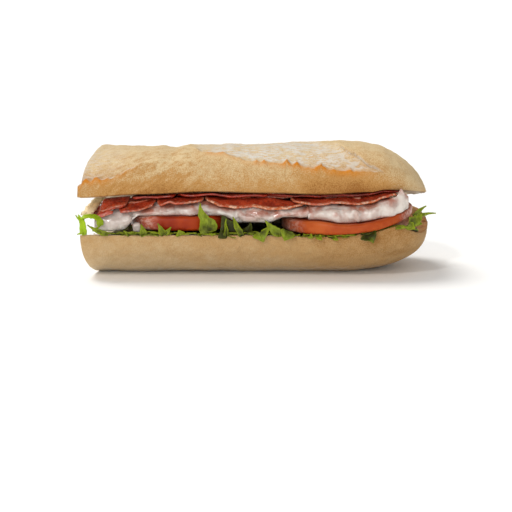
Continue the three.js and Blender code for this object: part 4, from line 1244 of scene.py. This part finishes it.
def lettuce_finish():
    soft = {"subsurface_weight": 0.15, "subsurface_scale": 0.001, "subsurface_radius": (0.6, 1.0, 0.2)}
    look = Finish("lettuce", **soft, specular_ior_level=0.2)
    green = look.mix(look.patchy(3, 4, 0.35, 0.65), (118, 132, 24), (76, 82, 12))
    vein = look.span(look.noise(1.2, 4, look.stretch(1, 0.4, 0.4)), 0.5, 0.6)
    veined = look.mix(look.times(vein, 0.5), green, (158, 172, 60))
    deep = look.plus(look.mask("shade"), look.patchy(5, 3, 0.35, 0.65, -0.25, 0.25))
    shaded = look.mix(look.span(deep, 0, 1), veined, (36, 35, 3))
    lit = look.times(look.span(look.mask("edge"), 0.3, 1.1), look.span(deep, 0, 1, 1, 0.15))
    sunny = look.mix(lit, shaded, (130, 144, 20))
    colour = look.mix(look.span(look.mask("shade"), -0.8, 0, 1, 0), sunny, (156, 186, 26))
    return look.finish(colour, look.patchy(2, 3, 0.3, 0.7, 0.35, 0.5), look.noise(1, 4), 0.25)


def add_sun(name, towards, strength, spread, colour):
    """A distant light seen in the direction given, so that it is even over the whole floor."""
    data = bpy.data.lights.new(name, "SUN")
    data.energy = strength
    data.angle = math.radians(spread)
    data.color = colour
    light = bpy.data.objects.new(name, data)
    light.rotation_euler = Vector(towards).to_track_quat("Z", "Y").to_euler()
    bpy.context.scene.collection.objects.link(light)


def studio():
    """White surroundings and the suns."""
    scene = bpy.context.scene
    scene.view_settings.view_transform = "Standard"
    world = bpy.data.worlds.new("studio")
    world.use_nodes = True
    background = world.node_tree.nodes["Background"]
    background.inputs["Color"].default_value = (1, 1, 1, 1)
    background.inputs["Strength"].default_value = SURROUNDINGS
    scene.world = world
    for name, sun in SUNS.items():
        add_sun(name, **sun)


def pale_floor():
    bpy.ops.mesh.primitive_circle_add(
        vertices=96, radius=FLOOR_RADIUS, fill_type="NGON", location=(0, 0, FLOOR_Z)
    )
    floor = bpy.context.object
    floor.name = "floor"
    look = Finish("pale_floor", specular_ior_level=0.1)
    colour = look.mix(look.noise(600, 2), (250, 250, 249), (253, 253, 252))
    floor.data.materials.append(look.finish(colour, 0.9, look.noise(4, 2), 0.01))


def camera():
    data = bpy.data.cameras.new("camera")
    data.sensor_width = SENSOR
    data.lens = SENSOR * LENS_PIXELS / PICTURE_PIXELS
    data.clip_end = 100
    eye = bpy.data.objects.new("camera", data)
    back = Vector((0, -math.cos(VIEW_ELEVATION), math.sin(VIEW_ELEVATION)))
    eye.location = VIEW_TARGET + back * VIEW_DISTANCE
    eye.rotation_euler = (-back).to_track_quat("-Z", "Y").to_euler()
    bpy.context.scene.collection.objects.link(eye)
    bpy.context.scene.camera = eye


def sandwich():
    # A lighter, more golden copy of the bread colours for the torn crumb flap: painted light to lift it out
    # of the shade under the upper bread
    torn = bread_finish("torn_crumb_painted_light", (252, 230, 184), (238, 198, 132), (200, 140, 70))
    crust = bread_finish("crust", (214, 190, 147), (184, 136, 76), (148, 96, 42))
    underside = bread_finish("underside", (208, 184, 146), (184, 147, 98), (150, 104, 50))
    tomatoes = {
        "left": tomato_finish("tomato_red", (162, 56, 14), (138, 38, 6)),
        "right": tomato_finish("tomato_orange", (182, 86, 34), (160, 62, 18)),
    }
    cheese = cheese_finish()
    # The upper slices take a darker copy of the salami colours: painted shade under the upper bread's lip
    salamis = {
        "lower": salami_finish("salami", (180, 66, 36), (122, 32, 16)),
        "upper": salami_finish("salami_shaded", (166, 50, 26), (118, 32, 16)),
    }
    lettuce = lettuce_finish()
    bread_bottom(underside)
    bread_top(crust)
    crumb_flap(torn)
    for number, (side, tomato) in enumerate(TOMATOES.items()):
        tomato_slice("tomato_" + side, tomato, tomatoes[side])
        cheese_piece("cheese_" + side, CHEESES[side], tomato, 60 + 4 * number, cheese)
    cheese_lump(cheese)
    for number, (name, cut) in enumerate(SLICES.items()):
        material = salamis["upper" if "upper" in name else "lower"]
        salami_slice(name, cut, number, material)
        for place, path in enumerate(FOLDS.get(name, [])):
            salami_fold(name, place + 1, path, material)
    for number, (side, leaf) in enumerate(LEAVES.items()):
        lettuce_leaf("lettuce_" + side, *leaf, 80 + 6 * number, lettuce)
    lettuce_arch(lettuce)


camera()
sandwich()
studio()
pale_floor()
